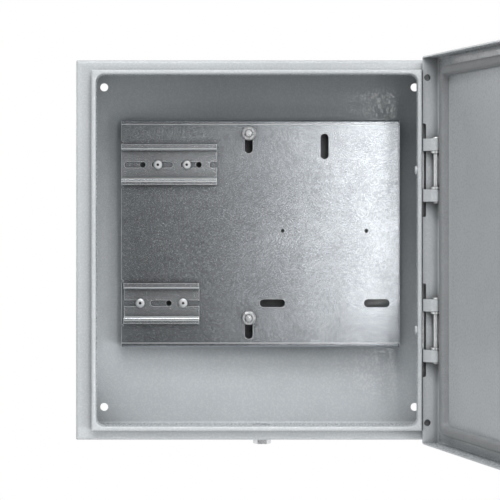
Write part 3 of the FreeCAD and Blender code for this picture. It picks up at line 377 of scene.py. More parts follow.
@dataclass(frozen=True)
class GalvanisedSteel:
    """Rolled galvanised sheet: fine crystals, faint rolling streaks and cloudy patches.

    The plate has a painted highlight line at each fold, and the rails in front of it have a brighter
    skin with painted highlight lines at their bends. The edges carry a painted highlight.

    Attributes:
        light: Linear colour of the bright crystals.
        dark: Linear colour of the dull ones.
        highlight_and_skin: Linear colour of the painted highlight on the edges and on the lines at the folds
            and bends.
        rail_light: Linear colour of the rails' bright spots.
        rail_dark: Linear colour of their dull ones.
        painted_corner_shade: Linear colour of the painted shade in the corners and round what sits on the
            plate.
        corner_shade_reach: How near a neighbour has to be for the painted shade to fall.
        corner_shade_open: Open shares of the sky with full painted shade and with none.
        rail_start: Depth from which on, towards the front, a surface is a rail's.
        crystals: Crystals to the metre.
        gloss: Roughness of the bright and of the dull spots.
        highlight_gloss: Roughness of the painted highlight on the edges and on the lines at the folds.
        edge: Width of the painted highlight along the edges.
        clouds: Patches to the metre.
        streaks: Rolling streaks to the metre.
        grain_depth: Height of the crystals.
        centre: Height of the plate's middle.
        fold_line: Painted highlight lines at the folds, above and below that middle.
        line_width: Width of those lines.
        rail_lines: Heights of the painted highlight lines at the rails' bends.
    """

    light: Colour = (0.66, 0.69, 0.72)
    dark: Colour = (0.235, 0.252, 0.27)
    highlight_and_skin: Colour = (0.95, 0.96, 0.97)
    rail_light: Colour = (0.75, 0.775, 0.80)
    rail_dark: Colour = (0.50, 0.52, 0.54)
    painted_corner_shade: Colour = (0.04, 0.043, 0.046)
    corner_shade_reach: float = 0.010
    corner_shade_open: tuple[float, float] = (0.15, 0.92)
    rail_start: float = -0.0203
    crystals: float = 1150.0
    gloss: tuple[float, float] = (0.17, 0.29)
    highlight_gloss: float = 0.58
    edge: float = 0.0008
    clouds: float = 26.0
    streaks: float = 150.0
    grain_depth: float = 0.00003
    centre: float = 0.012
    fold_line: float = 0.0948
    line_width: float = 0.0009
    rail_lines: tuple[float, ...] = (0.0855, 0.0600, 0.0573, -0.0345, -0.0600, -0.0627)

    def make(self, name: str) -> bpy.types.Material:
        """Roll the sheet: crystals, grain, patches and streaks, then painted shade, and painted highlights on
        the lines and edges.

        Args:
            name: The material's name, which is its slot's.

        Returns:
            The material.
        """
        graph = ShaderGraph(name)
        low, high = 0.3, 0.7
        finer, border = 2.2, 0.0001
        crystal = graph.crystals(self.crystals)
        grain = graph.noise(self.crystals * finer, detail=2.0, rough=0.7)
        cloud = graph.noise(self.clouds, detail=4.0, rough=0.6)
        streak = graph.noise(self.streaks, detail=2.0, at=graph.place(scale=(0.10, 1.0, 1.0)))
        mottle = graph.combine(graph.remap(crystal, 0.0, 0.38),
                               graph.remap(grain, 0.0, 0.52, low, high), "ADD")
        patch = graph.combine(graph.remap(cloud, -0.02, 0.16, low, high),
                              graph.remap(streak, -0.03, 0.03, low, high), "ADD")
        share = graph.combine(mottle, patch, "ADD")
        rail = graph.remap(graph.along("Y"), 0.0, 1.0, self.rail_start, self.rail_start - border)
        sheet = graph.blend(rail, graph.blend(share, self.dark, self.light),
                            graph.blend(share, self.rail_dark, self.rail_light))
        # Painted highlight lines at the plate's folds, left off the rails.
        folds = self.lines(graph, (self.centre - self.fold_line, self.centre + self.fold_line))
        folds = graph.combine(folds, graph.remap(rail, 1.0, 0.0), "MULTIPLY")
        # Painted highlight lines at the rails' bends.
        bends = graph.combine(self.lines(graph, self.rail_lines), rail, "MULTIPLY")
        # Painted highlights: edges, fold lines and bend lines all take the pale colour below.
        bright = graph.combine(graph.edges(self.edge), graph.combine(folds, bends, "MAXIMUM"), "MAXIMUM")
        # Painted shade: the sheet darkens where neighbours close it in, in corners and round what sits on the
        # plate.
        sheet = graph.blend(graph.recess(self.corner_shade_reach, self.corner_shade_open), self.painted_corner_shade, sheet)
        relief = graph.relief(graph.combine(crystal, grain, "ADD"), strength=0.20, distance=self.grain_depth)
        rough = graph.combine(graph.remap(grain, *self.gloss, low, high),
                              graph.remap(bright, 0.0, self.highlight_gloss), "MAXIMUM")
        return graph.finish(Base_Color=graph.blend(bright, sheet, self.highlight_and_skin), Metallic=1.0, Roughness=rough,
                            Normal=relief)

    def lines(self, graph: ShaderGraph, heights: Sequence[float]) -> Socket:
        """Draw level lines, each as the distance from its height on a slope down to its borders.

        Args:
            graph: The material's graph.
            heights: Where the lines lie.

        Returns:
            A value of 1 in the middle of a line that falls to 0 at its borders.
        """
        lines: Socket | float = 0.0
        for height in heights:
            off = graph.combine(graph.combine(graph.along("Z"), height, "SUBTRACT"), 0.0, "ABSOLUTE")
            line = graph.remap(off, start=1.0, end=0.0, low=0.0, high=self.line_width / 2)
            lines = graph.combine(line, lines, "MAXIMUM")
        return lines


@dataclass(frozen=True)
class PlatedMetal:
    """Plated or drawn metal of small parts: bright, with fine scratches and a dull bloom.

    Attributes:
        bright: Linear colour of the clean metal.
        bloom: Linear colour of the dull patches.
        highlight_and_skin: Linear colour of the painted highlight on the edges.
        painted_corner_shade: Linear colour of the painted shade in the corners.
        corner_shade_reach: How near a neighbour has to be for the painted shade to fall.
        corner_shade_open: Open shares of the sky with full painted shade and with none.
        gloss: Roughness of clean and dull metal.
        edge: Width of the painted highlight along the edges.
        blooms: Dull patches to the metre.
        scratches: Scratch lines to the metre.
        scratch_depth: Depth of the scratches.
    """

    bright: Colour = (0.72, 0.73, 0.74)
    bloom: Colour = (0.48, 0.49, 0.50)
    highlight_and_skin: Colour = (0.96, 0.96, 0.97)
    painted_corner_shade: Colour = (0.03, 0.03, 0.03)
    corner_shade_reach: float = 0.005
    corner_shade_open: tuple[float, float] = (0.20, 0.92)
    gloss: tuple[float, float] = (0.13, 0.28)
    edge: float = 0.0004
    blooms: float = 240.0
    scratches: float = 900.0
    scratch_depth: float = 0.00004

    def make(self, name: str) -> bpy.types.Material:
        """Plate the metal: drawn-out scratches, dull blooms, painted shade in the corners and a painted
        highlight on the edges.

        Args:
            name: The material's name, which is its slot's.

        Returns:
            The material.
        """
        graph = ShaderGraph(name)
        bloom = graph.noise(self.blooms, detail=4.0, rough=0.6)
        drawn_out = graph.place(scale=(1.0, 0.08, 0.3), turn=(0.4, 0.0, 0.7))
        across = graph.noise(self.scratches, detail=2.0, at=drawn_out)
        share = graph.remap(bloom, 0.0, 1.0, low=0.35, high=0.7)
        height = graph.combine(across, graph.remap(bloom, start=0.0, end=0.4), "ADD")
        relief = graph.relief(height, strength=0.15, distance=self.scratch_depth)
        plating = graph.blend(share, self.bright, self.bloom)
        # Painted shade: the plating darkens in the corners, where neighbours close it in.
        plating = graph.blend(graph.recess(self.corner_shade_reach, self.corner_shade_open), self.painted_corner_shade, plating)
        # Painted highlight: the edges turn pale.
        return graph.finish(Base_Color=graph.blend(graph.edges(self.edge), plating, self.highlight_and_skin), Metallic=1.0,
                            Roughness=graph.remap(across, *self.gloss, low=0.3, high=0.7), Normal=relief)


@dataclass(frozen=True)
class CellFoam:
    """Poured sealing foam: matt, mid grey and finely pored.

    Attributes:
        colour: Linear colour of the foam.
        highlight_and_skin: Linear colour of the skin between the pores.
        cells: Cells to the metre.
        clouds: Patches to the metre.
        cell_depth: Depth of the pores.
    """

    colour: Colour = (0.20, 0.21, 0.22)
    highlight_and_skin: Colour = (0.36, 0.37, 0.38)
    cells: float = 1500.0
    clouds: float = 90.0
    cell_depth: float = 0.00020

    def make(self, name: str) -> bpy.types.Material:
        """Pour the foam: pores a shade darker than the skin between them, and cloudy patches.

        Args:
            name: The material's name, which is its slot's.

        Returns:
            The material.
        """
        graph = ShaderGraph(name)
        pores = graph.pores(self.cells)
        cloud = graph.noise(self.clouds, detail=3.0)
        share = graph.combine(graph.remap(pores, start=0.0, end=0.6, low=0.1, high=0.6),
                              graph.remap(cloud, start=-0.1, end=0.3), "ADD")
        return graph.finish(Base_Color=graph.blend(share, self.colour, self.highlight_and_skin), Metallic=0.0,
                            Roughness=graph.remap(pores, start=0.95, end=0.78), Sheen_Weight=0.12,
                            Normal=graph.relief(pores, strength=0.5, distance=self.cell_depth))


FINISHES: dict[Slot, Finish] = {
    Slot.PAINT: PowderCoat(),
    Slot.GALVANISED: GalvanisedSteel(),
    Slot.FASTENER: PlatedMetal(bright=(0.84, 0.85, 0.86), bloom=(0.66, 0.67, 0.68), gloss=(0.24, 0.38)),
    Slot.RIVET: PlatedMetal(bright=(0.90, 0.91, 0.92), bloom=(0.78, 0.79, 0.80), gloss=(0.28, 0.42)),
    Slot.HINGE: PlatedMetal(bright=(0.78, 0.79, 0.80), bloom=(0.66, 0.67, 0.68), gloss=(0.32, 0.48)),
    Slot.FOAM: CellFoam(),
    Slot.LOCK: PlatedMetal(bright=(0.66, 0.66, 0.66), bloom=(0.52, 0.52, 0.53), gloss=(0.14, 0.28)),
    Slot.CAM: PlatedMetal(bright=(0.66, 0.67, 0.68), bloom=(0.50, 0.51, 0.52), gloss=(0.28, 0.45)),
}


def grid_faces(rows: int, columns: int, wrap_rows: bool) -> np.ndarray:
    """Four-cornered faces of a grid of points whose columns close on themselves.

    Args:
        rows: Points along the first parameter.
        columns: Points round the second one.
        wrap_rows: Whether the rows close on themselves too.

    Returns:
        One row of four point numbers for each face.
    """
    numbers = np.arange(rows * columns).reshape(rows, columns)
    if wrap_rows:
        numbers = np.concatenate([numbers, numbers[:1]])
    after = np.roll(numbers, -1, axis=1)
    return np.stack([numbers[:-1], after[:-1], after[1:], numbers[1:]], axis=-1).reshape(-1, 4)


def mesh_object(name: str, points: np.ndarray, faces: Sequence[Sequence[int]]) -> bpy.types.Object:
    """Make a smooth-shaded object from arrays, with the creases left sharp.

    Args:
        name: The object's name.
        points: Points, one row each, in metres and in the part's frame.
        faces: Point numbers of each face.

    Returns:
        The linked object.
    """
    mesh = bpy.data.meshes.new(name)
    mesh.from_pydata(points, [], faces)
    mesh.validate()
    mesh.polygons.foreach_set("use_smooth", np.ones(len(mesh.polygons), dtype=bool))
    mesh.update()
    mesh.set_sharp_from_angle(angle=math.radians(SHARP_DEGREES))
    made = bpy.data.objects.new(name, mesh)
    bpy.context.scene.collection.objects.link(made)
    return made


def capped_tube(rings: np.ndarray, start: np.ndarray, end: np.ndarray) -> Shape:
    """Close a stack of rings with a point at each end.

    Args:
        rings: Points by ring and place round the ring.
        start: The pole before the first ring.
        end: The pole after the last ring.

    Returns:
        The points and the faces.
    """
    rows, columns, _ = rings.shape
    points = np.concatenate([rings.reshape(-1, 3), start[None], end[None]])
    faces = grid_faces(rows, columns, wrap_rows=False).tolist()
    first, last = np.arange(columns), np.arange(columns) + (rows - 1) * columns
    pole_start, pole_end = rows * columns, rows * columns + 1
    faces += np.stack([np.roll(first, -1), first, np.full(columns, pole_start)], axis=1).tolist()
    faces += np.stack([last, np.roll(last, -1), np.full(columns, pole_end)], axis=1).tolist()
    return points, faces


@dataclass(frozen=True)
class Thread:
    """Screw thread cut into a turned piece.

    Attributes:
        pitch: Rise of one turn.
        depth: Depth of the thread.
        start: Where it starts along the axis.
        end: Where it ends.
    """

    pitch: float
    depth: float
    start: float
    end: float

    def cut(self, along: np.ndarray, angle: np.ndarray) -> np.ndarray:
        """How deep the thread cuts at each place.

        The height is a triangle wave of the distance along the axis less the share of a turn, so
        its crests climb one pitch a turn. It fades in and out over half a pitch at its ends.

        Args:
            along: Distances along the axis.
            angle: Angles about it, in radians.

        Returns:
            Depths below the outside radius.
        """
        phase = (along / self.pitch - angle / (2 * math.pi)) % 1.0
        wave = 1.0 - np.abs(2.0 * phase - 1.0)
        fade = np.clip(np.minimum(along - self.start, self.end - along) / (self.pitch / 2), 0.0, 1.0)
        return self.depth * wave * fade


@dataclass(frozen=True)
class Turned:
    """A piece turned on a lathe about its own axis, with an optional thread.

    Attributes:
        profile: Corners of the half section as distance along the axis and radius.
        thread: Thread cut into it, if any.
        round_by: Radius that each corner of the half section is rounded by.
        sides: Points round the axis.
    """

    profile: tuple[tuple[float, float], ...]
    thread: Thread | None = None
    round_by: float = 0.0001
    sides: int = 48

    def half_section(self) -> np.ndarray:
        """Sample the half section with its corners rounded.

        Each corner is replaced by a quadratic curve between two points on its edges, and a run that
        carries the thread is sampled at a twelfth of the pitch.

        Returns:
            Distance along the axis and radius, one row for each point.
        """
        most, arc_points, pitch_points, rounding = 0.45, 5, 12, 1e-9
        corners = np.array(self.profile)
        before, here, after = corners[:-2], corners[1:-1], corners[2:]
        back, forth = before - here, after - here
        back_length = np.linalg.norm(back, axis=1, keepdims=True)
        forth_length = np.linalg.norm(forth, axis=1, keepdims=True)
        cut = np.minimum(self.round_by, most * np.minimum(back_length, forth_length))
        start, end = here + back / back_length * cut, here + forth / forth_length * cut
        share = np.linspace(0.0, 1.0, arc_points)[None, :, None]
        rest = 1 - share
        arcs = rest ** 2 * start[:, None] + 2 * share * rest * here[:, None] + share ** 2 * end[:, None]
        line = arcs.reshape(-1, 2)
        if self.thread is not None:
            fine = np.arange(self.thread.start, self.thread.end, self.thread.pitch / pitch_points)
            order = np.argsort(line[:, 0], kind="stable")
            radius = np.interp(fine, line[order, 0], line[order, 1])
            inside = (line[:, 0] > self.thread.start) & (line[:, 0] < self.thread.end)
            first = int(np.argmax(inside)) if inside.any() else len(line)
            run = np.stack([fine, radius], axis=1)
            line = np.concatenate([line[:first], run, line[first:][~inside[first:]]])
            line = line[np.concatenate([[True], np.diff(line[:, 0]) > -rounding])]
        return line

    def build(self, origin: Sequence[float], axis: Sequence[float]) -> Shape:
        """Turn the half section about the axis.

        A point is the origin, plus its distance along the axis, plus the radius less the thread's
        cut, in the direction that the angle gives in the plane across the axis.

        Args:
            origin: Where the axis starts.
            axis: Its direction.

        Returns:
            The points and the faces.
        """
        line = self.half_section()
        angle = np.linspace(0.0, 2 * math.pi, self.sides, endpoint=False)
        along, turn = np.broadcast_arrays(line[:, :1], angle[None, :])
        radius = np.broadcast_to(line[:, 1:], along.shape)
        if self.thread is not None:
            radius = radius - self.thread.cut(along, turn)
        direction = np.array(axis, dtype=float) / np.linalg.norm(axis)
        nearly_upright = 0.9
        helper = (0.0, 0.0, 1.0) if abs(direction[2]) < nearly_upright else (1.0, 0.0, 0.0)
        side = np.cross(helper, direction)
        side /= np.linalg.norm(side)
        other = np.cross(direction, side)
        centre = np.array(origin, dtype=float)
        rings = (centre + along[..., None] * direction
                 + radius[..., None] * (np.cos(turn)[..., None] * side + np.sin(turn)[..., None] * other))
        start = centre + self.profile[0][0] * direction
        end = centre + self.profile[-1][0] * direction
        return capped_tube(rings, start, end)


def join_shapes(shapes: Sequence[Shape]) -> Shape:
    """Put several shapes into one.

    The points follow each other, and each shape's faces count on from the points before it.

    Args:
        shapes: Points and faces of each.

    Returns:
        The points and the faces of all.
    """
    points: list[np.ndarray] = []
    faces: list[list[int]] = []
    count = 0
    for shape_points, shape_faces in shapes:
        points.append(shape_points)
        faces += [[number + count for number in face] for face in shape_faces]
        count += len(shape_points)
    return np.concatenate(points), faces


@dataclass
class Workshop:
    """Makes the materials once and gives them to nodes and new pieces."""

    materials: dict[Slot, bpy.types.Material] = field(default_factory=dict)

    def prepare(self) -> None:
        """Build every finish under its slot's name."""
        for slot, finish in FINISHES.items():
            self.materials[slot] = finish.make(slot.value)
            LOG.info("finish %s: %s", slot.value, finish)

    def coat(self, node: str, slot: Slot) -> None:
        """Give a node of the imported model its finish.

        Args:
            node: The node's name.
            slot: Its finish.
        """
        item = frame["nodes"][node]
        for material_slot in item.material_slots:
            material_slot.material = self.materials[slot]
        LOG.info("node %s takes %s", node, slot.value)

    def piece(self, name: str, shape: Shape, slot: Slot, body: Body,
              stands_for: Sequence[str] = ()) -> bpy.types.Object:
        """Make a new piece, finish it and let it ride on its body.

        Args:
            name: The piece's name.
            shape: Its points and faces.
            slot: Its finish.
            body: The body that it moves with.
            stands_for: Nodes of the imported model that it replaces.

        Returns:
            The new object.
        """
        made = mesh_object(name, *shape)
        made.data.materials.append(self.materials[slot])
        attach(made, body.value)
        if stands_for:
            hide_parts(*stands_for)
        LOG.info("piece %s: %d faces on %s", name, len(made.data.polygons), body.value)
        return made


@dataclass
class DoorFrame:
    """Places what is drawn on the closed door: x along it, y through it, z up.

    Attributes:
        pin: Hinge axis in the part's frame, X and Y.
        open_degrees: How far the door stands open.
    """

    pin: tuple[float, float] = (0.143, -0.144)
    open_degrees: float = 104.0

    def place(self, points: np.ndarray) -> np.ndarray:
        """Turn points about the upright hinge axis and move them to it.

        Args:
            points: Points of the closed door, from the hinge axis.

        Returns:
            The same points in the part's frame with the door open.
        """
        turn = math.radians(self.open_degrees)
        across, depth = points[..., 0], points[..., 1]
        x = self.pin[0] + across * math.cos(turn) - depth * math.sin(turn)
        y = self.pin[1] + across * math.sin(turn) + depth * math.cos(turn)
        return np.stack([x, y, points[..., 2]], axis=-1)


@dataclass
class EnclosureBody:
    """Folded tray with its earth bolt."""

    nodes: dict[str, Slot] = field(default_factory=lambda: {
        "body_shell": Slot.PAINT,
        "earth_bolt": Slot.FASTENER,
        "earth_washers": Slot.FASTENER,
        "earth_nut": Slot.FASTENER,
    })

    def dress(self, workshop: Workshop) -> None:
        """Give every piece its finish."""
        for node, slot in self.nodes.items():
            workshop.coat(node, slot)


@dataclass
class PlateAssembly:
    """Mounting plate on its two studs, with the rails and their rivets.

    Attributes:
        stud_x: Where both studs stand across.
        stud_heights: Where they stand up the wall.
        wall_inside: Inner face of the back wall.
        foot_radius: Radius of a stud's welded foot.
        foot_height: How far the foot stands off the wall.
        stud_radius: Outside radius of the thread.
        stud_tip: End of a stud, from the wall's rear face.
        chamfer: Chamfer at that end.
        pitch: Pitch of the thread.
        thread_depth: Depth of the thread.
        plate_front: Front of the mounting plate.
        plate_edges: Its lower and upper edge.
        drawn_radius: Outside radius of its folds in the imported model.
        fold_radius: Outside radius of its folds as the photograph shows them.
    """

    stud_x: float = -0.0093
    stud_heights: tuple[float, float] = (0.0989, -0.0611)
    wall_inside: float = 0.0012
    foot_radius: float = 0.004
    foot_height: float = 0.001
    stud_radius: float = 0.003
    stud_tip: float = 0.0285
    chamfer: float = 0.0006
    pitch: float = 0.001
    thread_depth: float = 0.0005
    plate_front: float = -0.020
    plate_edges: tuple[float, float] = (-0.0864, 0.1104)
    drawn_radius: float = 0.003
    fold_radius: float = 0.0015
    nodes: dict[str, Slot] = field(default_factory=lambda: {
        "stud_washers": Slot.FASTENER,
        "stud_nuts": Slot.FASTENER,
        "din_rail_upper": Slot.GALVANISED,
        "din_rail_lower": Slot.GALVANISED,
        "rail_rivets_upper": Slot.RIVET,
        "rail_rivets_lower": Slot.RIVET,
    })

    def dress(self, workshop: Workshop) -> None:
        """Finish the nodes, and make the threaded studs and the folded plate.

        Args:
            workshop: Where finishes and pieces come from.
        """
        for node, slot in self.nodes.items():
            workshop.coat(node, slot)
        workshop.piece("threaded_studs", self.studs(), Slot.FASTENER, Body.ENCLOSURE, ["plate_studs"])
        workshop.piece("folded_plate", self.plate(), Slot.GALVANISED, Body.ENCLOSURE, ["mounting_plate"])

    def plate(self) -> Shape:
        """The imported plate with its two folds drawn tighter.

        A point of a fold keeps its direction from the fold's centre and comes nearer to it by the
        difference of the radii, and the centre moves out by as much towards the edge and the front.

        Returns:
            The points and the faces, with each point there once.
        """
        mesh = frame["nodes"]["mounting_plate"].data
        points = np.empty(len(mesh.vertices) * 3)
        mesh.vertices.foreach_get("co", points)
        points = points.reshape(-1, 3)
        tighter = self.drawn_radius - self.fold_radius
        for edge, outward in zip(self.plate_edges, (-1.0, 1.0)):
            centre = np.array([self.plate_front + self.drawn_radius, edge - outward * self.drawn_radius])
            spoke = points[:, 1:] - centre
            length = np.linalg.norm(spoke, axis=1)
            tiny = 1e-6
            fold = (spoke[:, 0] < tiny) & (spoke[:, 1] * outward > -tiny) & (length > tiny)
            moved = centre + np.array([-tighter, outward * tighter])
            points[fold, 1:] = moved + spoke[fold] * (1.0 - tighter / length[fold])[:, None]
        corners = np.empty(len(mesh.loops), dtype=int)
        mesh.loops.foreach_get("vertex_index", corners)
        digits = 7
        _, first, same = np.unique(np.round(points, digits), axis=0, return_index=True, return_inverse=True)
        return points[first], same.reshape(-1)[corners].reshape(-1, 3).tolist()

    def studs(self) -> Shape:
        """Turn the two welded studs with their threads about Y.

        Returns:
            The points and the faces of both.
        """
        foot_end = self.wall_inside + self.foot_height
        shoulder = self.stud_tip - self.chamfer
        stud = Turned(
            profile=(
                (self.wall_inside, 0.0),
                (self.wall_inside, self.foot_radius),
                (foot_end, self.foot_radius),
                (foot_end, self.stud_radius),
                (shoulder, self.stud_radius),
                (self.stud_tip, self.stud_radius - self.chamfer),
                (self.stud_tip, 0.0),
            ),
            thread=Thread(self.pitch, self.thread_depth, foot_end + self.pitch, shoulder),
        )
        return join_shapes([stud.build((self.stud_x, 0.0, up), (0.0, -1.0, 0.0)) for up in self.stud_heights])


@dataclass
class Hinges:
    """Concealed hinges: leaves riveted to the lip, pins and the door's brackets."""

    nodes: dict[str, Slot] = field(default_factory=lambda: {
        "hinge_leaf_upper": Slot.PAINT,
        "hinge_leaf_lower": Slot.PAINT,
        "hinge_leaf_rivets": Slot.PAINT,
        "hinge_pin_upper": Slot.HINGE,
        "hinge_pin_lower": Slot.HINGE,
        "hinge_bracket_upper": Slot.HINGE,
        "hinge_bracket_lower": Slot.HINGE,
    })

    def dress(self, workshop: Workshop) -> None:
        """Give every piece its finish."""
        for node, slot in self.nodes.items():
            workshop.coat(node, slot)


@dataclass
class Door:
    """Door tray with its foam gasket.

    Attributes:
        frame: Where the door stands.
        left: Gasket's centre line on the latch side, from the hinge axis.
        right: Gasket's centre line on the hinge side, from the hinge axis.
        high: Gasket's centre line above and below the middle.
        floor: Door's inner face, from the hinge axis.
        crown: Highest line of the gasket, from the hinge axis.
        width: Gasket across.
        turn: Radius of the centre line at the corners.
    """

    frame: DoorFrame = field(default_factory=DoorFrame)
    left: float = -0.27765
    right: float = -0.01305
    high: float = 0.14465
    floor: float = -0.0048
    crown: float = 0.0017
    width: float = 0.008
    turn: float = 0.008
    nodes: dict[str, Slot] = field(default_factory=lambda: {"door_shell": Slot.PAINT})

    def dress(self, workshop: Workshop) -> None:
        """Finish the tray and make the gasket.

        Args:
            workshop: Where finishes and pieces come from.
        """
        for node, slot in self.nodes.items():
            workshop.coat(node, slot)
        gasket = workshop.piece("foam_gasket", self.gasket(), Slot.FOAM, Body.DOOR, ["door_gasket"])

    def gasket(self) -> Shape:
        """Carry a crowned section round the door.

        The centre line is a rectangle with quarter circles at its corners. The section's half width
        follows a superellipse of power four, so its sides stand nearly upright and its top is
        crowned; it swells and sinks a little along the run, as poured foam does.

        Returns:
            The points and the faces, in the part's frame.
        """
        crown_points, foot_points = 21, 3
        side_power, crown_power = 0.5, 0.6
        sink, long_waves, short_waves = 0.035, 9, 23
        centre, normal, run = self.centre_line()
        angle = np.linspace(0.0, math.pi, crown_points)
        squash = np.abs(np.cos(angle)) ** side_power * np.sign(np.cos(angle))
        rise = np.abs(np.sin(angle)) ** crown_power
        foot = np.linspace(-1, 1, foot_points + 2)[1:-1]
        across = np.concatenate([squash * self.width / 2, foot * self.width / 2])
        up = np.concatenate([rise, np.zeros(foot_points)])
        turns = run * 2 * math.pi
        swell = 1.0 - sink * (1 + np.sin(turns * long_waves) * np.sin(turns * short_waves + 1.0))
        height = (self.crown - self.floor) * swell
        points = np.empty((len(run), len(across), 3))
        points[..., 0] = centre[:, None, 0] + normal[:, None, 0] * across
        points[..., 2] = centre[:, None, 1] + normal[:, None, 1] * across
        points[..., 1] = self.floor + height[:, None] * up
        faces = grid_faces(len(run), len(across), wrap_rows=True).tolist()
        return self.frame.place(points).reshape(-1, 3), faces

    def centre_line(self) -> tuple[np.ndarray, np.ndarray, np.ndarray]:
        """Run once round the gasket's rounded rectangle.

        Each corner is a quarter circle about a point that lies inwards by the turn's radius, and
        each side is a straight line from the end of one to the start of the next.

        Returns:
            Centres and outward normals in the door's plane, and the share of the run from 0 to 1.
        """
        corner_points, side_points = 13, 60
        corners = [(self.right, self.high, 0.0), (self.left, self.high, 90.0),
                   (self.left, -self.high, 180.0), (self.right, -self.high, 270.0)]
        middle = np.array([(self.left + self.right) / 2, 0.0])
        pieces, normals = [], []
        for index, (x, z, start) in enumerate(corners):
            inward = np.sign(middle - np.array([x, z]))
            pivot = np.array([x, z]) + inward * self.turn
            angle = np.radians(np.linspace(start, start + 90.0, corner_points))
            spoke = np.stack([np.cos(angle), np.sin(angle)], axis=1)
            pieces.append(pivot + spoke * self.turn)
            normals.append(spoke)
            following = np.array(corners[(index + 1) % len(corners)][:2])
            next_pivot = following + np.sign(middle - following) * self.turn
            leave, arrive = pivot + spoke[-1] * self.turn, next_pivot + spoke[-1] * self.turn
            share = np.linspace(0.0, 1.0, side_points + 2)[1:-1, None]
            pieces.append(leave + (arrive - leave) * share)
            normals.append(np.repeat(spoke[-1:], side_points, axis=0))
        centre, normal = np.concatenate(pieces), np.concatenate(normals)
        steps = np.linalg.norm(np.roll(centre, -1, axis=0) - centre, axis=1)
        run = np.concatenate([[0.0], np.cumsum(steps)[:-1]]) / steps.sum()
        return centre, normal, run


@dataclass
class CamLock:
    """Quarter-turn lock through the door."""

    nodes: dict[str, Slot] = field(default_factory=lambda: {
        "lock_housing": Slot.LOCK,
        "lock_nut": Slot.FASTENER,
        "lock_plug": Slot.LOCK,
        "lock_cam": Slot.CAM,
        "cam_washer": Slot.FASTENER,
        "cam_screw": Slot.FASTENER,
    })

    def dress(self, workshop: Workshop) -> None:
        """Give every piece its finish."""
        for node, slot in self.nodes.items():
            workshop.coat(node, slot)


@dataclass(frozen=True)
class Softbox:
    """Soft rectangular lamp.

    Attributes:
        name: The lamp's name.
        at: Where it hangs.
        spread: Its width and height in metres.
        watts: Its power.
    """

    name: str
    at: Place
    spread: tuple[float, float]
    watts: float


SOFTBOXES = (
    Softbox("overhead_softbox", (-0.25, -1.25, 1.56), (1.50, 0.70), 19.5),
    Softbox("front_softbox", (0.30, -1.79, 0.94), (1.40, 0.70), 11.5),
    Softbox("low_fill", (1.25, -1.56, -0.48), (0.70, 0.40), 11.3),
    Softbox("left_fill", (-1.60, -1.70, 0.20), (0.60, 0.90), 2.0),
    Softbox("side_strip_high", (0.45, -1.95, 0.40), (0.22, 0.34), 2.3),
    Softbox("side_strip_low", (0.45, -1.95, -0.30), (0.22, 0.34), 1.1),
    Softbox("axis_strip", (0.23, -1.95, 0.03), (0.065, 0.60), 1.2),
    Softbox("rear_softbox_left", (-1.50, 1.20, 0.50), (1.20, 1.20), 14.0),
    Softbox("rear_softbox_right", (1.50, 1.20, 0.50), (1.20, 1.20), 14.0),
)


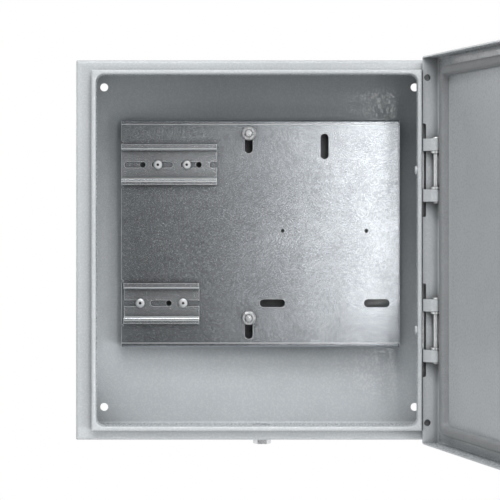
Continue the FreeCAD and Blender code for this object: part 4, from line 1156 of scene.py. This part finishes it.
@dataclass
class Studio:
    """Pale floor, soft lights and the photograph's camera.

    Attributes:
        target: What the lamps face.
        floor_level: Height of the floor.
        floor_reach: Half its width.
        floor_corner: Radius of its corners.
        lens: Focal length on a 36 mm sensor.
        camera_at: Where the camera stands.
        shift: Sensor shift that gives the photograph's framing.
        sky: Strength of the light from all round.
        card_at: Middle of the dark card.
        card_size: Its width and height.
    """

    target: Place = (0.0, -0.07, 0.0)
    floor_level: float = -0.42
    floor_reach: float = 0.85
    floor_corner: float = 0.25
    lens: float = 154.4
    camera_at: Place = (-0.00298, -1.880, 0.0343)
    shift: tuple[float, float] = (-0.012, -0.084)
    sky: float = 0.13
    card_at: Place = (-0.6, -3.2, 0.2)
    card_size: tuple[float, float] = (5.0, 4.0)

    def build(self) -> None:
        """Set up everything round the object."""
        self.world()
        self.floor()
        self.card()
        for softbox in SOFTBOXES:
            self.hang(softbox)
        self.camera()
        bpy.context.scene.view_settings.view_transform = "Standard"

    def world(self) -> None:
        """White to the camera and in reflections of it, soft light for the rest."""
        world = bpy.data.worlds.new("studio")
        bpy.context.scene.world = world
        world.use_nodes = True
        tree = world.node_tree
        background = tree.nodes["Background"]
        white = tree.nodes.new("ShaderNodeBackground")
        white.inputs["Strength"].default_value = 1.0
        white.inputs["Color"].default_value = (1.0, 1.0, 1.0, 1.0)
        background.inputs["Color"].default_value = (0.97, 0.99, 1.0, 1.0)
        background.inputs["Strength"].default_value = self.sky
        path = tree.nodes.new("ShaderNodeLightPath")
        mix = tree.nodes.new("ShaderNodeMixShader")
        seen = path.outputs["Is Camera Ray"]
        for ray in ("Is Glossy Ray", "Is Transmission Ray"):
            either = tree.nodes.new("ShaderNodeMath")
            either.operation = "MAXIMUM"
            tree.links.new(seen, either.inputs[0])
            tree.links.new(path.outputs[ray], either.inputs[1])
            seen = either.outputs["Value"]
        tree.links.new(seen, mix.inputs["Fac"])
        tree.links.new(background.outputs["Background"], mix.inputs[1])
        tree.links.new(white.outputs["Background"], mix.inputs[2])
        tree.links.new(mix.outputs["Shader"], tree.nodes["World Output"].inputs["Surface"])

    def floor(self) -> None:
        """Pale floor under the object, with rounded corners.

        Its outline is a circle whose points are moved out to the corner that their angle faces.
        """
        step, digits = 6, 9
        angle = np.radians(np.arange(0, 360, step))
        spoke = np.stack([np.cos(angle), np.sin(angle)], axis=1)
        corner = np.sign(np.round(spoke, digits)) * (self.floor_reach - self.floor_corner)
        outline = corner + spoke * self.floor_corner
        points = np.column_stack([outline, np.full(len(angle), self.floor_level)])
        made = mesh_object("studio_floor", points, [list(range(len(angle)))])
        graph = ShaderGraph("pale_floor")
        cloud = graph.noise(6.0, detail=2.0)
        graph.finish(Base_Color=graph.blend(cloud, (0.80, 0.80, 0.80), (0.84, 0.84, 0.84)), Roughness=0.9)
        made.data.materials.append(graph.material)

    def card(self) -> None:
        """Dark studio card behind the camera, the side of the room that the object's front faces."""
        x, y, z = self.card_at
        half_width, half_height = self.card_size[0] / 2, self.card_size[1] / 2
        points = np.array([[x - half_width, y, z - half_height], [x - half_width, y, z + half_height],
                           [x + half_width, y, z + half_height], [x + half_width, y, z - half_height]])
        made = mesh_object("studio_card", points, [[0, 1, 2, 3]])
        graph = ShaderGraph("dark_card")
        weave = graph.noise(9.0, detail=2.0)
        graph.finish(Base_Color=graph.blend(weave, (0.16, 0.16, 0.16), (0.20, 0.20, 0.20)), Roughness=0.95)
        made.data.materials.append(graph.material)
        made.visible_camera = False

    def hang(self, softbox: Softbox) -> None:
        """Hang a lamp that faces the target.

        Args:
            softbox: The lamp.
        """
        data = bpy.data.lights.new(softbox.name, "AREA")
        data.shape = "RECTANGLE"
        data.size, data.size_y = softbox.spread
        data.energy = softbox.watts
        lamp = bpy.data.objects.new(softbox.name, data)
        bpy.context.scene.collection.objects.link(lamp)
        lamp.location = softbox.at
        lamp.rotation_euler = self.facing(softbox.at)

    def facing(self, at: Place) -> tuple[float, float, float]:
        """Angles that turn a lamp at that place towards the target."""
        x, y, z = (goal - here for goal, here in zip(self.target, at))
        return (math.pi / 2 + math.atan2(z, math.hypot(x, y)), 0.0, math.atan2(y, x) - math.pi / 2)

    def camera(self) -> None:
        """Level camera in front of the box, a little above its middle."""
        data = bpy.data.cameras.new("photo_camera")
        data.lens = self.lens
        data.sensor_width = 36.0
        data.shift_x, data.shift_y = self.shift
        camera = bpy.data.objects.new("photo_camera", data)
        bpy.context.scene.collection.objects.link(camera)
        camera.location = self.camera_at
        camera.rotation_euler = (math.pi / 2, 0.0, 0.0)
        bpy.context.scene.camera = camera


def clear_defaults() -> None:
    """Remove the start-up scene's own objects."""
    for item in list(bpy.data.objects):
        if item.type in {"CAMERA", "LIGHT"} or item.name == "Cube":
            bpy.data.objects.remove(item)


def main() -> None:
    """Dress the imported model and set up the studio."""
    logging.basicConfig(level=logging.INFO, format="%(name)s: %(message)s")
    clear_defaults()
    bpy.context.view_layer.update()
    workshop = Workshop()
    workshop.prepare()
    for assembly in (EnclosureBody(), PlateAssembly(), Hinges(), Door(), CamLock()):
        LOG.info("dressing %s", type(assembly).__name__)
        assembly.dress(workshop)
    Studio().build()


if __name__ == "__main__":
    main()
